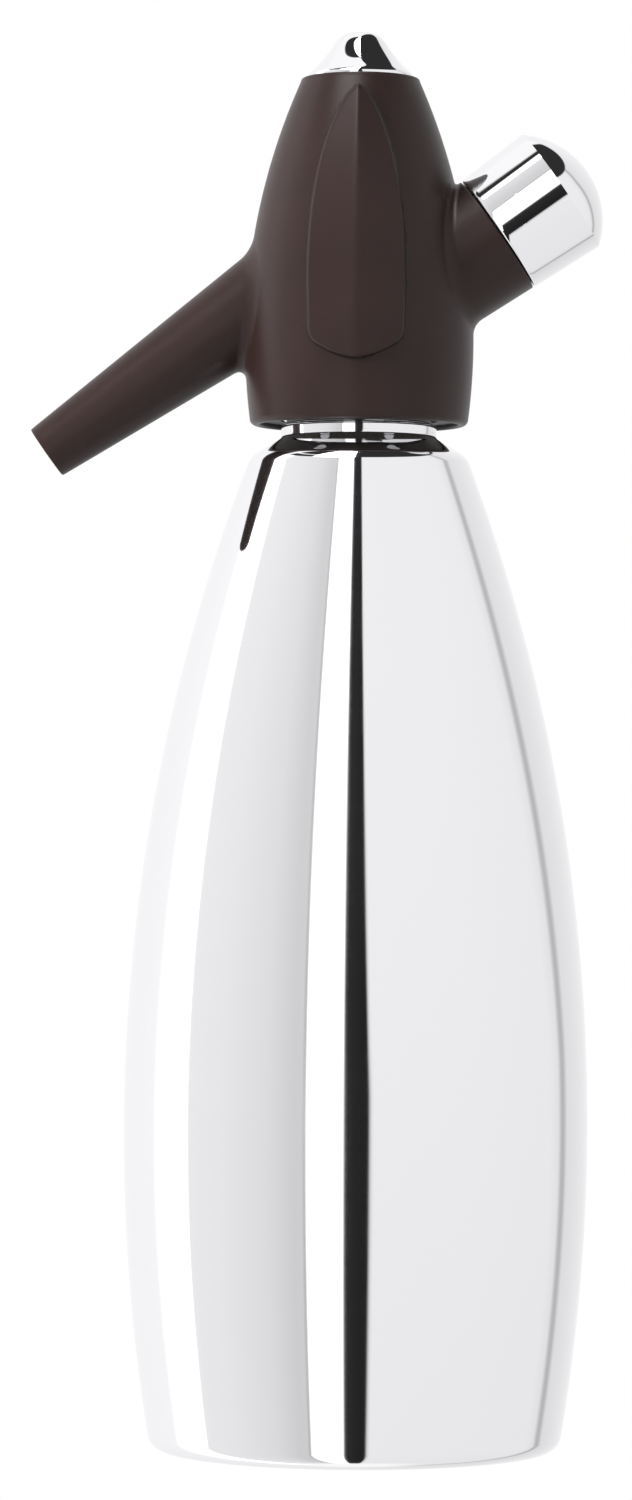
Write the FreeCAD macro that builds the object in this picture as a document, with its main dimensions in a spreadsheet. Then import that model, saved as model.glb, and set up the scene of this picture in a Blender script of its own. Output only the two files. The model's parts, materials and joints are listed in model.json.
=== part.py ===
import FreeCAD, Part
import math
import os

import Sketcher

# A soda siphon: a steel pressure bottle, a screw-on head with a push button valve,
# a downward spout and a screw-on holder for a gas charger.
# Millimetres. The origin is the centre of the bottle's resting face and +Z is up.
# The spout points to -X and the charger holder to +X.

SIZES = {
    # bottle
    "BottleRadius": 52.6,
    "BellyHeight": 73.0,
    "FootCorner": 4.0,
    "RestRingWidth": 6.0,
    "ShoulderCentreHeight": 221.8,
    "ShoulderCentreRadius": 20.56,
    "ShoulderCorner": 5.0,
    "ShoulderAngle": 32.0,
    "NeckFillet": 1.0,
    "NeckRadius": 17.7,
    "CollarHeight": 0.5,
    "BottleWall": 0.9,
    "BaseDome": 5.0,
    "NeckWall": 3.2,
    "NeckInsert": 4.0,
    "NeckLength": 9.46,
    # screw thread between the neck and the head
    "ThreadDepth": 1.05,
    "ThreadPitch": 2.2,
    "ThreadLength": 6.0,
    "ThreadRunOut": 0.8,
    "ThreadClearance": 0.15,
    # gasket and dip tube
    "GasketThickness": 1.5,
    "GasketInset": 0.1,
    "TubeRadius": 3.5,
    "TubeBore": 2.5,
    "TubeBottom": 9.0,
    "TubeSocketDepth": 3.1,
    "TubeTopGap": 0.2,
    "TubeFootRadius": 5.0,
    "TubeFootHeight": 7.0,
    "TubeFootCover": 4.0,
    "TubeFootSlot": 1.6,
    "TubeSealRadius": 0.9,
    "TubeSealHeight": 1.3,
    # head shell
    "HeadMargin": 8.3,
    "HeadBellyDrop": 59.5,
    "HeadRimWidth": 1.11,
    "HeadOverlap": 7.6,
    "RoofThickness": 8.1,
    "HeadSkirt": 3.45,
    "ValveThickness": 20.8,
    "LedgeThickness": 3.7,
    "LedgeWidth": 2.05,
    "RoofRise": 41.1,
    "ShellWall": 2.4,
    "HeadBottomRound": 1.5,
    "HeadTopRound": 0.5,
    # spout
    "SpoutSlope": 35.0,
    "SpoutAxisRise": 13.7,
    "SpoutReach": 71.2,
    "SpoutTipRadius": 6.35,
    "SpoutFlare": 4.2,
    "SpoutWall": 2.2,
    "SpoutRoot": 8.0,
    "SpoutRound": 0.4,
    "NozzleLength": 10.0,
    "NozzleSeat": 3.0,
    "NozzleFlare": 2.6,
    "SpoutTubeRadius": 3.0,
    "SpoutTubeBore": 1.7,
    "SpoutTubeStart": 7.0,
    "SpoutSealRadius": 0.7,
    "SpoutSealPlace": 9.0,
    # grips
    "LeafTopDrop": 3.2,
    "LeafWideRise": 15.8,
    "LeafHalfWidth": 11.25,
    "LeafTopHalfWidth": 1.6,
    "LeafTipRise": 13.1,
    "LeafCornerRise": 4.7,
    "LeafCornerRadius": 3.6,
    "LeafTipRadius": 9.0,
    "LeafRise": 2.6,
    "LeafPitch": 17.0,
    # valve body
    "ValveGap": 0.15,
    "TowerRadius": 10.0,
    "TowerRoom": 13.4,
    "StemRadius": 2.5,
    "StemBoreRise": 2.5,
    "ChannelRadius": 1.1,
    "ChannelOffset": 7.0,
    "InletRise": 6.5,
    "CrossRise": 3.9,
    "GasOffset": 8.5,
    "GasPortRadius": 2.3,
    "GasPortDepth": 2.0,
    "CheckValveLength": 6.0,
    "CheckValveBore": 0.8,
    # screws through the thread ring and the valve body
    "ScrewStandoff": 2.5,
    "ScrewAngle": 60.0,
    "ScrewRadius": 1.1,
    "ScrewHeadRadius": 1.95,
    "ScrewHeadHeight": 1.5,
    "ScrewReach": 7.5,
    "ScrewBossRadius": 3.2,
    "ScrewBossHeight": 9.0,
    "RingRise": 1.1,
    # button, carrier, stem and spring
    "ButtonRadius": 12.0,
    "ButtonRise": 10.5,
    "ButtonNose": 11.0,
    "ButtonNoseHalf": 6.2,
    "ButtonBrow": 4.5,
    "ButtonNeckRadius": 7.9,
    "ButtonNeckDrop": 4.0,
    "ButtonFlare": 16.0,
    "ButtonEdgeInset": 0.2,
    "ButtonEdgeDrop": 8.4,
    "ButtonSkirt": 8.0,
    "ButtonWall": 0.9,
    "ButtonClearance": 0.12,
    "FlangeWidth": 1.2,
    "FlangeThickness": 1.8,
    "CarrierHeight": 8.0,
    "StemRoom": 3.8,
    "WaistAboveGroove": 2.8,
    "WaistBelowGroove": 2.0,
    "WaistRadius": 1.6,
    "StemHeadRadius": 1.5,
    "GrooveWidth": 1.1,
    "LowerGrooveRise": 2.6,
    "UpperGrooveDrop": 3.0,
    "StemRingRadius": 0.45,
    "GlandRadius": 5.0,
    "GlandLength": 4.0,
    "NutWidth": 5.5,
    "NutThickness": 2.2,
    "NutPocketRadius": 3.6,
    "SpringRadius": 6.6,
    "SpringWire": 0.5,
    "SpringTurns": 4.5,
    # charger line, measured outwards along its axis from the head's axis
    "HolderSlope": 35.0,
    "HolderAxisRise": 12.6,
    "BossFace": 38.1,
    "BossWall": 2.1,
    "BossFlare": 2.6,
    "BossRoot": 5.0,
    "SocketWall": 1.4,
    "ThroatGap": 0.6,
    "SocketStart": 13.0,
    "SocketStepGap": 0.6,
    "SocketInset": 0.3,
    "SealFace": -3.4,
    "SealThickness": 1.6,
    "SealBore": 1.6,
    "PinRadius": 2.5,
    "PinLength": 6.0,
    "NeedleRadius": 0.6,
    "NeedleLength": 2.8,
    "ChargerRadius": 9.2,
    "ChargerLength": 65.0,
    "ChargerNeckRadius": 4.4,
    "ChargerNeckLength": 8.0,
    "ChargerConeLength": 8.4,
    "ChargerHole": 0.9,
    "ChargerHoleDepth": 2.4,
    "ChargerNeckGap": 0.3,
    "SleeveWall": 1.45,
    "ChargerGap": 0.35,
    "SleeveReach": 16.0,
    "SleeveFlangeGap": 0.1,
    "SleeveEndDrop": 6.0,
    "SleeveThreadDepth": 0.5,
    "SleeveThreadPitch": 2.5,
    "SleeveThreadLength": 7.5,
    "CapGap": 0.25,
    "CapLip": 0.1,
    "CapWidening": 0.8,
    "CapRimDrop": 6.0,
    "CapEndRise": 1.5,
    "CapWall": 1.0,
    "PadReach": 4.6,
    "PadRimLength": 2.0,
    "PadFaceRadius": 3.2,
    # fits shared by several pieces
    "RunningGap": 0.05,
    "PushGap": 0.03,
    "LooseGap": 0.3,
}


class Size:
    """A number and the sheet expression that gives it, so that both stay together."""

    def __init__(self, value, text):
        self.value = value
        self.text = text

    def __add__(self, other):
        other = as_size(other)
        return Size(self.value + other.value, f"({self.text} + {other.text})")

    def __sub__(self, other):
        other = as_size(other)
        return Size(self.value - other.value, f"({self.text} - {other.text})")

    def __mul__(self, other):
        other = as_size(other)
        return Size(self.value * other.value, f"({self.text} * {other.text})")

    def __truediv__(self, other):
        other = as_size(other)
        return Size(self.value / other.value, f"({self.text} / {other.text})")

    def __neg__(self):
        return Size(-self.value, f"(0 - {self.text})")


def as_size(number):
    if isinstance(number, Size):
        return number
    return Size(float(number), f"({float(number)!r})")


def root(size):
    return Size(math.sqrt(size.value), f"sqrt({size.text})")


def sine(angle):
    return Size(math.sin(math.radians(angle.value)), f"sin({angle.text})")


def cosine(angle):
    return Size(math.cos(math.radians(angle.value)), f"cos({angle.text})")


def tangent(angle):
    return sine(angle) / cosine(angle)


def arc_half(radius, offset):
    """The half chord of a circle at a distance from its centre."""
    return root(radius * radius - offset * offset)


class Arc:
    """A round stretch of an outline, under half a circle, between the points beside it."""

    def __init__(self, radius, turn):
        self.radius = as_size(radius)
        self.turn = turn


LEFT = 1
RIGHT = -1

document = FreeCAD.newDocument("SodaSiphon")
sheet = document.addObject("Spreadsheet::Sheet", "Sizes")
for row, (alias, number) in enumerate(SIZES.items(), 1):
    sheet.set(f"A{row}", alias)
    sheet.set(f"B{row}", str(number))
    sheet.setAlias(f"B{row}", alias)
document.recompute()


class Sheet:
    """Gives each size of the sheet by its name."""

    def __getattr__(self, name):
        return Size(SIZES[name], f"Sizes.{name}")


size = Sheet()
followers = []
nodes = {}


def derived(name, amount):
    """Gives a length that follows from others a cell of its own, with its formula."""
    followers.append(name)
    row = len(SIZES) + len(followers)
    sheet.set(f"A{row}", name)
    sheet.set(f"B{row}", "=" + amount.text.replace("Sizes.", ""))
    sheet.setAlias(f"B{row}", name)
    sheet.recompute()
    return Size(amount.value, f"Sizes.{name}")


def bind(item, **values):
    """Ties properties of a document object to expressions on the sheet."""
    for name, amount in values.items():
        item.setExpression(name, as_size(amount).text)


def place(item, across=0, along=0, up=0, tilt=None, turn=None):
    """Sets and binds where an object stands. A tilt leans its own Z axis towards +X."""
    spots = [as_size(across), as_size(along), as_size(up)]
    spin = FreeCAD.Rotation()
    if tilt is not None:
        spin = FreeCAD.Rotation(FreeCAD.Vector(0, 1, 0), tilt.value)
    if turn is not None:
        spin = FreeCAD.Rotation(FreeCAD.Vector(0, 0, 1), turn.value)
    item.Placement = FreeCAD.Placement(FreeCAD.Vector(*[s.value for s in spots]), spin)
    for letter, spot in zip("xyz", spots):
        item.setExpression(f"Placement.Base.{letter}", spot.text)
    if tilt is not None:
        item.setExpression("Placement.Rotation.Angle", tilt.text)
    if turn is not None:
        item.setExpression("Placement.Rotation.Angle", turn.text)


def arc_geometry(start, end, arc):
    """The circle's arc from start to end, turning left or right, in sketch coordinates."""
    chord = end - start
    middle = (start + end) * 0.5
    radius = max(arc.radius.value, chord.Length / 2 * 1.000001)
    rise = math.sqrt(radius**2 - (chord.Length / 2) ** 2)
    side = FreeCAD.Vector(-chord.y, chord.x, 0).normalize() * arc.turn
    centre = middle + side * rise
    first, last = (start, end) if arc.turn == LEFT else (end, start)
    low = math.atan2(first.y - centre.y, first.x - centre.x)
    high = math.atan2(last.y - centre.y, last.x - centre.x)
    circle = Part.Circle(centre, FreeCAD.Vector(0, 0, 1), radius)
    return Part.ArcOfCircle(circle, low, high)


def draw(body, name, path, role="XZ_Plane"):
    """Draws a closed outline on one of the body's planes and binds every point to the sheet."""
    plane = [p for p in body.Origin.OriginFeatures if p.Role == role][0]
    sketch = body.newObject("Sketcher::SketchObject", name)
    sketch.AttachmentSupport = (plane, "")
    sketch.MapMode = "FlatFace"
    points = [(as_size(p[0]), as_size(p[1])) for p in path if not isinstance(p, Arc)]
    spots = [FreeCAD.Vector(x.value, y.value, 0) for x, y in points]
    after = []
    for item in path:
        if isinstance(item, Arc):
            after[-1] = item
        else:
            after.append(None)
    begins = []
    ends = []
    for index, arc in enumerate(after):
        start = spots[index]
        end = spots[(index + 1) % len(spots)]
        if arc is None:
            sketch.addGeometry(Part.LineSegment(start, end), False)
        else:
            sketch.addGeometry(arc_geometry(start, end, arc), False)
        forwards = arc is None or arc.turn == LEFT
        begins.append(1 if forwards else 2)
        ends.append(2 if forwards else 1)
    for index, arc in enumerate(after):
        following = (index + 1) % len(after)
        sketch.addConstraint(
            Sketcher.Constraint("Coincident", index, ends[index], following, begins[following])
        )
    for index, arc in enumerate(after):
        for axis, amount in zip("XY", points[index]):
            rule = Sketcher.Constraint(
                f"Distance{axis}", -1, 1, index, begins[index], amount.value
            )
            number = sketch.addConstraint(rule)
            sketch.setExpression(f"Constraints[{number}]", amount.text)
        if arc is not None:
            number = sketch.addConstraint(
                Sketcher.Constraint("Radius", index, arc.radius.value)
            )
            sketch.setExpression(f"Constraints[{number}]", arc.radius.text)
    return sketch


def new_body(name):
    body = document.addObject("PartDesign::Body", f"Body_{name}")
    body.Label = name
    return body


def revolve(body, name, path):
    """Turns an outline of (radius, height) points about the body's Z axis."""
    sketch = draw(body, f"Section_{name}", path)
    turned = body.newObject("PartDesign::Revolution", f"Turned_{name}")
    turned.Profile = sketch
    turned.ReferenceAxis = (sketch, ["V_Axis"])
    turned.Angle = 360
    sketch.Visibility = False
    return turned


def turned_part(name, path, **spot):
    """A sub-part turned about its own Z axis from one outline."""
    body = new_body(name)
    revolve(body, name, path)
    place(body, **spot)
    nodes[name] = body
    return body


def tube_path(inner, outer, low, high):
    return [(inner, low), (outer, low), (outer, high), (inner, high)]


def add_thread(body, name, core, crest, low, pitch, length, foot, tip):
    """A ridge wound round the body, from its core out to its crest."""
    sunk = core - size.BottleWall * 0.2
    path = [
        (sunk, low),
        (crest, low + (foot - tip) / 2),
        (crest, low + (foot + tip) / 2),
        (sunk, low + foot),
    ]
    sketch = draw(body, f"Ridge_{name}", path)
    thread = body.newObject("PartDesign::AdditiveHelix", f"Thread_{name}")
    thread.Profile = sketch
    thread.ReferenceAxis = (sketch, ["V_Axis"])
    thread.Mode = 0
    bind(thread, Pitch=pitch, Height=length)
    thread.Pitch = pitch.value
    thread.Height = length.value
    sketch.Visibility = False
    return thread


def rod(name, radius, length, **spot):
    """A plain cylinder, standing on its placement's origin."""
    cylinder = document.addObject("Part::Cylinder", name)
    bind(cylinder, Radius=radius, Height=length)
    place(cylinder, **spot)
    return cylinder


def taper(name, low_radius, high_radius, length, **spot):
    cone = document.addObject("Part::Cone", name)
    bind(cone, Radius1=low_radius, Radius2=high_radius, Height=length)
    place(cone, **spot)
    return cone


def ring(name, major, minor, **spot):
    torus = document.addObject("Part::Torus", name)
    bind(torus, Radius1=major, Radius2=minor)
    place(torus, **spot)
    return torus


def joined(name, shapes):
    fuse = document.addObject("Part::MultiFuse", name)
    fuse.Shapes = shapes
    return fuse


def without(name, base, tools):
    """The base less one tool, or less several that are joined first."""
    cut = document.addObject("Part::Cut", name)
    cut.Base = base
    cut.Tool = tools[0] if len(tools) == 1 else joined(f"{name}_tools", tools)
    return cut


def grouped(name, shapes):
    group = document.addObject("Part::Compound", name)
    group.Links = shapes
    group.Label = name
    nodes[name] = group
    return group


def as_node(item, name):
    item.Label = name
    nodes[name] = item
    return item


# Bottle, from its resting face up to its collar
# The side is one arc with its centre level with the belly, which runs into the shoulder's corner.
SHOULDER_X = size.ShoulderCentreRadius
SHOULDER_RISE = size.ShoulderCentreHeight - size.BellyHeight
SHOULDER_INSET = size.BottleRadius - SHOULDER_X
SHOULDER_SQUARES = SHOULDER_INSET * SHOULDER_INSET + SHOULDER_RISE * SHOULDER_RISE
FLANK_SUM = SHOULDER_SQUARES - size.ShoulderCorner * size.ShoulderCorner
FLANK = derived("FlankRadius", FLANK_SUM / ((SHOULDER_INSET - size.ShoulderCorner) * 2))
FLANK_CENTRE = size.BottleRadius - FLANK
SHOULDER_REACH = FLANK - size.ShoulderCorner
FOOT_REACH = FLANK - size.FootCorner
FOOT_DROP = size.BellyHeight - size.FootCorner
REST_RADIUS = FLANK_CENTRE + arc_half(FOOT_REACH, FOOT_DROP)
FOOT_INNER = REST_RADIUS - size.RestRingWidth
NECK_FILLET_X = size.NeckRadius + size.NeckFillet
SLOPE_SINE = sine(size.ShoulderAngle)
SLOPE_COSINE = cosine(size.ShoulderAngle)
SLOPE_START_X = SHOULDER_X + size.ShoulderCorner * SLOPE_SINE
SLOPE_START_Z = size.ShoulderCentreHeight + size.ShoulderCorner * SLOPE_COSINE
SLOPE_END_X = NECK_FILLET_X - size.NeckFillet * SLOPE_SINE
SLOPE_END_Z = SLOPE_START_Z + (SLOPE_START_X - SLOPE_END_X) * tangent(size.ShoulderAngle)
NECK_START = SLOPE_END_Z + size.NeckFillet * SLOPE_COSINE
COLLAR_TOP = NECK_START + size.CollarHeight

# Levels, each measured from what carries it
MOUTH = derived("MouthLevel", COLLAR_TOP + size.NeckLength)
VALVE_BOTTOM = derived("ValveBottom", MOUTH + size.GasketThickness)
LEDGE = derived("LedgeLevel", VALVE_BOTTOM + size.ValveThickness)
LEDGE_TOP = LEDGE + size.LedgeThickness
ROOF = derived("RoofLevel", LEDGE + size.RoofRise)
HEAD_TOP = derived("HeadTopLevel", ROOF + size.RoofThickness)
HEAD_LOW = derived("HeadLowLevel", MOUTH - size.HeadOverlap)
BUTTON_TOP = derived("ButtonTopLevel", HEAD_TOP + size.ButtonRise)
BELLY = derived("HeadBellyLevel", HEAD_TOP - size.HeadBellyDrop)
SPOUT_LEVEL = derived("SpoutLevel", LEDGE + size.SpoutAxisRise)
HOLDER_LEVEL = derived("HolderLevel", VALVE_BOTTOM + size.HolderAxisRise)
LEAF_TOP = derived("LeafTopLevel", HEAD_TOP - size.LeafTopDrop)
LEAF_TIP = derived("LeafTipLevel", HEAD_LOW + size.LeafTipRise)
LEAF_CORNER = derived("LeafCornerLevel", LEAF_TIP + size.LeafCornerRise)
LEAF_WIDE = derived("LeafWideLevel", LEAF_CORNER + size.LeafWideRise)
TOWER_TOP = derived("TowerTopLevel", ROOF - size.TowerRoom)
CROSS_LEVEL = derived("CrossLevel", VALVE_BOTTOM + size.CrossRise)
STEM_BORE_LOW = derived("StemBoreLow", LEDGE + size.StemBoreRise)
INLET_LEVEL = derived("InletLevel", STEM_BORE_LOW + size.InletRise)
STEM_LOW = derived("StemLow", STEM_BORE_LOW + size.StemRoom)
LOWER_GROOVE = derived("LowerGrooveLevel", STEM_LOW + size.LowerGrooveRise)
WAIST_LOW = LOWER_GROOVE + size.WaistAboveGroove
UPPER_GROOVE = derived("UpperGrooveLevel", TOWER_TOP - size.GlandLength - size.UpperGrooveDrop)
WAIST_TOP = UPPER_GROOVE - size.WaistBelowGroove

# Radii, each from what it fits round or into
NECK_BORE = size.NeckRadius - size.NeckWall
SCREW_CIRCLE = size.NeckRadius + size.ScrewStandoff
HEAD_RADIUS = size.NeckRadius + size.HeadMargin
HEAD_BORE = HEAD_RADIUS - size.HeadSkirt
LEDGE_BORE = HEAD_BORE - size.LedgeWidth
VALVE_RADIUS = HEAD_BORE - size.ValveGap
BUTTON_BORE = size.ButtonRadius + size.ButtonClearance
BUTTON_EDGE = size.ButtonRadius - size.ButtonEdgeInset
FLANGE_RADIUS = size.ButtonRadius + size.FlangeWidth
# The bell's side is one arc from its belly to the rim round the button.
BELL_NARROWING = HEAD_RADIUS - BUTTON_BORE - size.HeadRimWidth
BELL_SUM = BELL_NARROWING * BELL_NARROWING + size.HeadBellyDrop * size.HeadBellyDrop
HEAD_FLANK = derived("HeadFlankRadius", BELL_SUM / (BELL_NARROWING * 2))
HEAD_CENTRE = HEAD_RADIUS - HEAD_FLANK
SLEEVE_BORE = size.ChargerRadius + size.ChargerGap
SLEEVE_RADIUS = SLEEVE_BORE + size.SleeveWall
SOCKET_BORE = size.ChargerRadius + size.ThroatGap
SOCKET_RADIUS = SLEEVE_RADIUS + size.SocketWall
BOSS_BORE = SOCKET_RADIUS + size.PushGap
BOSS_RADIUS = SOCKET_RADIUS + size.BossWall
CAP_RADIUS = BOSS_RADIUS + size.CapLip
CAP_RIM_RADIUS = CAP_RADIUS + size.CapWidening
SLEEVE_FLANGE = CAP_RADIUS - size.CapWall - size.SleeveFlangeGap

# Places along the charger line
SOCKET_STEP = size.BossFace - size.SleeveReach - size.SocketStepGap
CHARGER_END = size.SealFace + size.ChargerLength
SLEEVE_END = CHARGER_END - size.SleeveEndDrop
CAP_RIM = CHARGER_END - size.CapRimDrop
CAP_END = CHARGER_END + size.CapEndRise
PAD_START = CHARGER_END - size.PadReach
PAD_SHOULDER = PAD_START + size.PadRimLength


# The charger line and the spout share one way of leaning: their own Z axis turns
# from straight up towards +X.
HOLDER_TILT = as_size(90) - size.HolderSlope
SPOUT_TILT = as_size(90) - size.SpoutSlope
HOLDER_X = cosine(size.HolderSlope)
HOLDER_Z = sine(size.HolderSlope)
SPOUT_X = cosine(size.SpoutSlope)
SPOUT_Z = sine(size.SpoutSlope)
SPOUT_LENGTH = size.SpoutReach / SPOUT_X
SPOUT_TIP_HEIGHT = SPOUT_LEVEL - SPOUT_LENGTH * SPOUT_Z


def on_holder_axis(distance=0):
    """The placement of a piece whose own Z axis runs out along the charger line."""
    step = as_size(distance)
    return {
        "across": HOLDER_X * step,
        "up": HOLDER_LEVEL + HOLDER_Z * step,
        "tilt": HOLDER_TILT,
    }


def on_spout_axis(distance=0):
    """The placement of a piece that starts at a distance from the spout's tip, going in."""
    step = as_size(distance)
    return {
        "across": SPOUT_X * step - size.SpoutReach,
        "up": SPOUT_TIP_HEIGHT + SPOUT_Z * step,
        "tilt": SPOUT_TILT,
    }


def bottle_side(inset):
    """The side of the bottle from its resting face to its collar, moved in by a wall."""
    corner = size.FootCorner - inset
    shoulder = size.ShoulderCorner - inset
    fillet = size.NeckFillet + inset
    flank = FLANK - inset
    foot_share = flank / FOOT_REACH
    top_share = flank / SHOULDER_REACH
    return [
        (REST_RADIUS, size.FootCorner - corner),
        Arc(corner, LEFT),
        (
            FLANK_CENTRE + (REST_RADIUS - FLANK_CENTRE) * foot_share,
            size.BellyHeight - FOOT_DROP * foot_share,
        ),
        Arc(flank, LEFT),
        (
            FLANK_CENTRE + (SHOULDER_X - FLANK_CENTRE) * top_share,
            size.BellyHeight + SHOULDER_RISE * top_share,
        ),
        Arc(shoulder, LEFT),
        (
            SHOULDER_X + shoulder * SLOPE_SINE,
            size.ShoulderCentreHeight + shoulder * SLOPE_COSINE,
        ),
        (NECK_FILLET_X - fillet * SLOPE_SINE, NECK_START - fillet * SLOPE_COSINE),
        Arc(fillet, RIGHT),
        (NECK_FILLET_X - fillet, NECK_START),
        (NECK_FILLET_X - fillet, COLLAR_TOP),
    ]


def backwards(path):
    """The same stretch of outline travelled the other way."""
    turned = []
    for item in reversed(path):
        if isinstance(item, Arc):
            turned.append(Arc(item.radius, -item.turn))
        else:
            turned.append(item)
    return turned


def make_bottle():
    outside = bottle_side(as_size(0))
    inside = backwards(bottle_side(size.BottleWall))
    section = [(FOOT_INNER, 0)] + outside + inside + [(FOOT_INNER, size.BottleWall)]
    turned_part("bottle_shell", section)
    dome = size.BaseDome
    dome_radius = (FOOT_INNER * FOOT_INNER + dome * dome) / (dome * 2)
    base = [
        (0, dome),
        Arc(dome_radius, RIGHT),
        (FOOT_INNER, 0),
        (FOOT_INNER, size.BottleWall),
        Arc(dome_radius, LEFT),
        (0, dome + size.BottleWall),
    ]
    turned_part("bottle_base", base)


THREAD_CORE = size.NeckRadius - size.ThreadDepth
THREAD_TOP = MOUTH - size.ThreadRunOut
THREAD_LOW = THREAD_TOP - size.ThreadLength


def make_neck_ring():
    """The machined ring welded into the collar, with the bottle's screw thread."""
    body = new_body("neck_ring")
    insert = size.NeckRadius - size.BottleWall - size.PushGap
    shank_top = THREAD_LOW - size.ThreadPitch / 2
    section = [
        (NECK_BORE, COLLAR_TOP - size.NeckInsert),
        (insert, COLLAR_TOP - size.NeckInsert),
        (insert, COLLAR_TOP),
        (size.NeckRadius, COLLAR_TOP),
        (size.NeckRadius, shank_top),
        (THREAD_CORE, shank_top + size.ThreadDepth / 2),
        (THREAD_CORE, MOUTH),
        (NECK_BORE, MOUTH),
    ]
    revolve(body, "neck_ring", section)
    ridge_foot = size.ThreadPitch * 0.75
    ridge_tip = size.ThreadPitch * 0.25
    low = THREAD_LOW - ridge_foot / 2
    turns_height = size.ThreadLength - ridge_foot / 2
    add_thread(
        body,
        "neck_ring",
        THREAD_CORE,
        size.NeckRadius,
        low,
        size.ThreadPitch,
        turns_height,
        ridge_foot,
        ridge_tip,
    )
    place(body)
    nodes["neck_ring"] = body


# Gasket, dip tube and foot
TUBE_SOCKET_TOP = VALVE_BOTTOM + size.TubeSocketDepth
TUBE_TOP = TUBE_SOCKET_TOP - size.TubeTopGap
TUBE_SEAL_Z = VALVE_BOTTOM + size.TubeSealHeight


def make_gasket():
    outer = size.NeckRadius - size.GasketInset
    section = tube_path(NECK_BORE, outer, MOUTH, VALVE_BOTTOM)
    turned_part("head_gasket", section)


def make_dip_tube():
    section = tube_path(size.TubeBore, size.TubeRadius, size.TubeBottom, TUBE_TOP)
    turned_part("dip_tube", section)
    seal_major = size.TubeRadius + size.TubeSealRadius + size.PushGap
    seal = ring("Tube_seal_ring", seal_major, size.TubeSealRadius, up=TUBE_SEAL_Z)
    as_node(seal, "tube_seal")
    bore = size.TubeRadius + size.PushGap
    foot_top = size.TubeBottom + size.TubeFootCover
    foot_bottom = foot_top - size.TubeFootHeight
    foot_body = new_body("tube_foot")
    seat = size.TubeBottom
    section = [
        (size.TubeBore, foot_bottom),
        (size.TubeFootRadius, foot_bottom),
        (size.TubeFootRadius, foot_top),
        (bore, foot_top),
        (bore, seat),
        (size.TubeBore, seat),
    ]
    revolve(foot_body, "tube_foot", section)
    slot = draw(
        foot_body,
        "Slot_outline",
        [
            (size.TubeFootSlot / -2, foot_bottom - 1),
            (size.TubeFootSlot / 2, foot_bottom - 1),
            (size.TubeFootSlot / 2, seat - size.TubeFootSlot / 2),
            (size.TubeFootSlot / -2, seat - size.TubeFootSlot / 2),
        ],
    )
    pocket = foot_body.newObject("PartDesign::Pocket", "Slot")
    pocket.Profile = slot
    pocket.Type = 1
    pocket.Midplane = True
    document.recompute()
    pattern = foot_body.newObject("PartDesign::PolarPattern", "Slots")
    pattern.Originals = [pocket]
    axis = [p for p in foot_body.Origin.OriginFeatures if p.Role == "Z_Axis"][0]
    pattern.Axis = (axis, [""])
    pattern.Angle = 180
    pattern.Occurrences = 3
    foot_body.Tip = pattern
    slot.Visibility = False
    place(foot_body)
    nodes["tube_foot"] = foot_body


# Head shell
def head_radius(height, inset=0):
    """The radius of the head's bell at a height, moved in by a wall."""
    flank = HEAD_FLANK - inset
    return HEAD_CENTRE + arc_half(flank, height - BELLY)


def bell_path(inset, low, high):
    return [
        (0, low),
        (head_radius(low, inset), low),
        Arc(HEAD_FLANK - inset, LEFT),
        (head_radius(high, inset), high),
        (0, high),
    ]


SCREW_SPOTS = [(1, 1), (-1, 1), (-1, -1), (1, -1)]


def screw_place(side, front, height):
    return {
        "across": SCREW_CIRCLE * cosine(size.ScrewAngle) * side,
        "along": SCREW_CIRCLE * sine(size.ScrewAngle) * front,
        "up": height,
    }


def boss_radius(distance):
    """The radius of the charger boss at a distance along the charger line."""
    return BOSS_RADIUS - (size.BossFace - distance) * tangent(size.BossFlare)


def spout_radius(distance):
    """The outer radius of the spout at a distance from its tip."""
    return size.SpoutTipRadius + tangent(size.SpoutFlare) * distance


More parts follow.
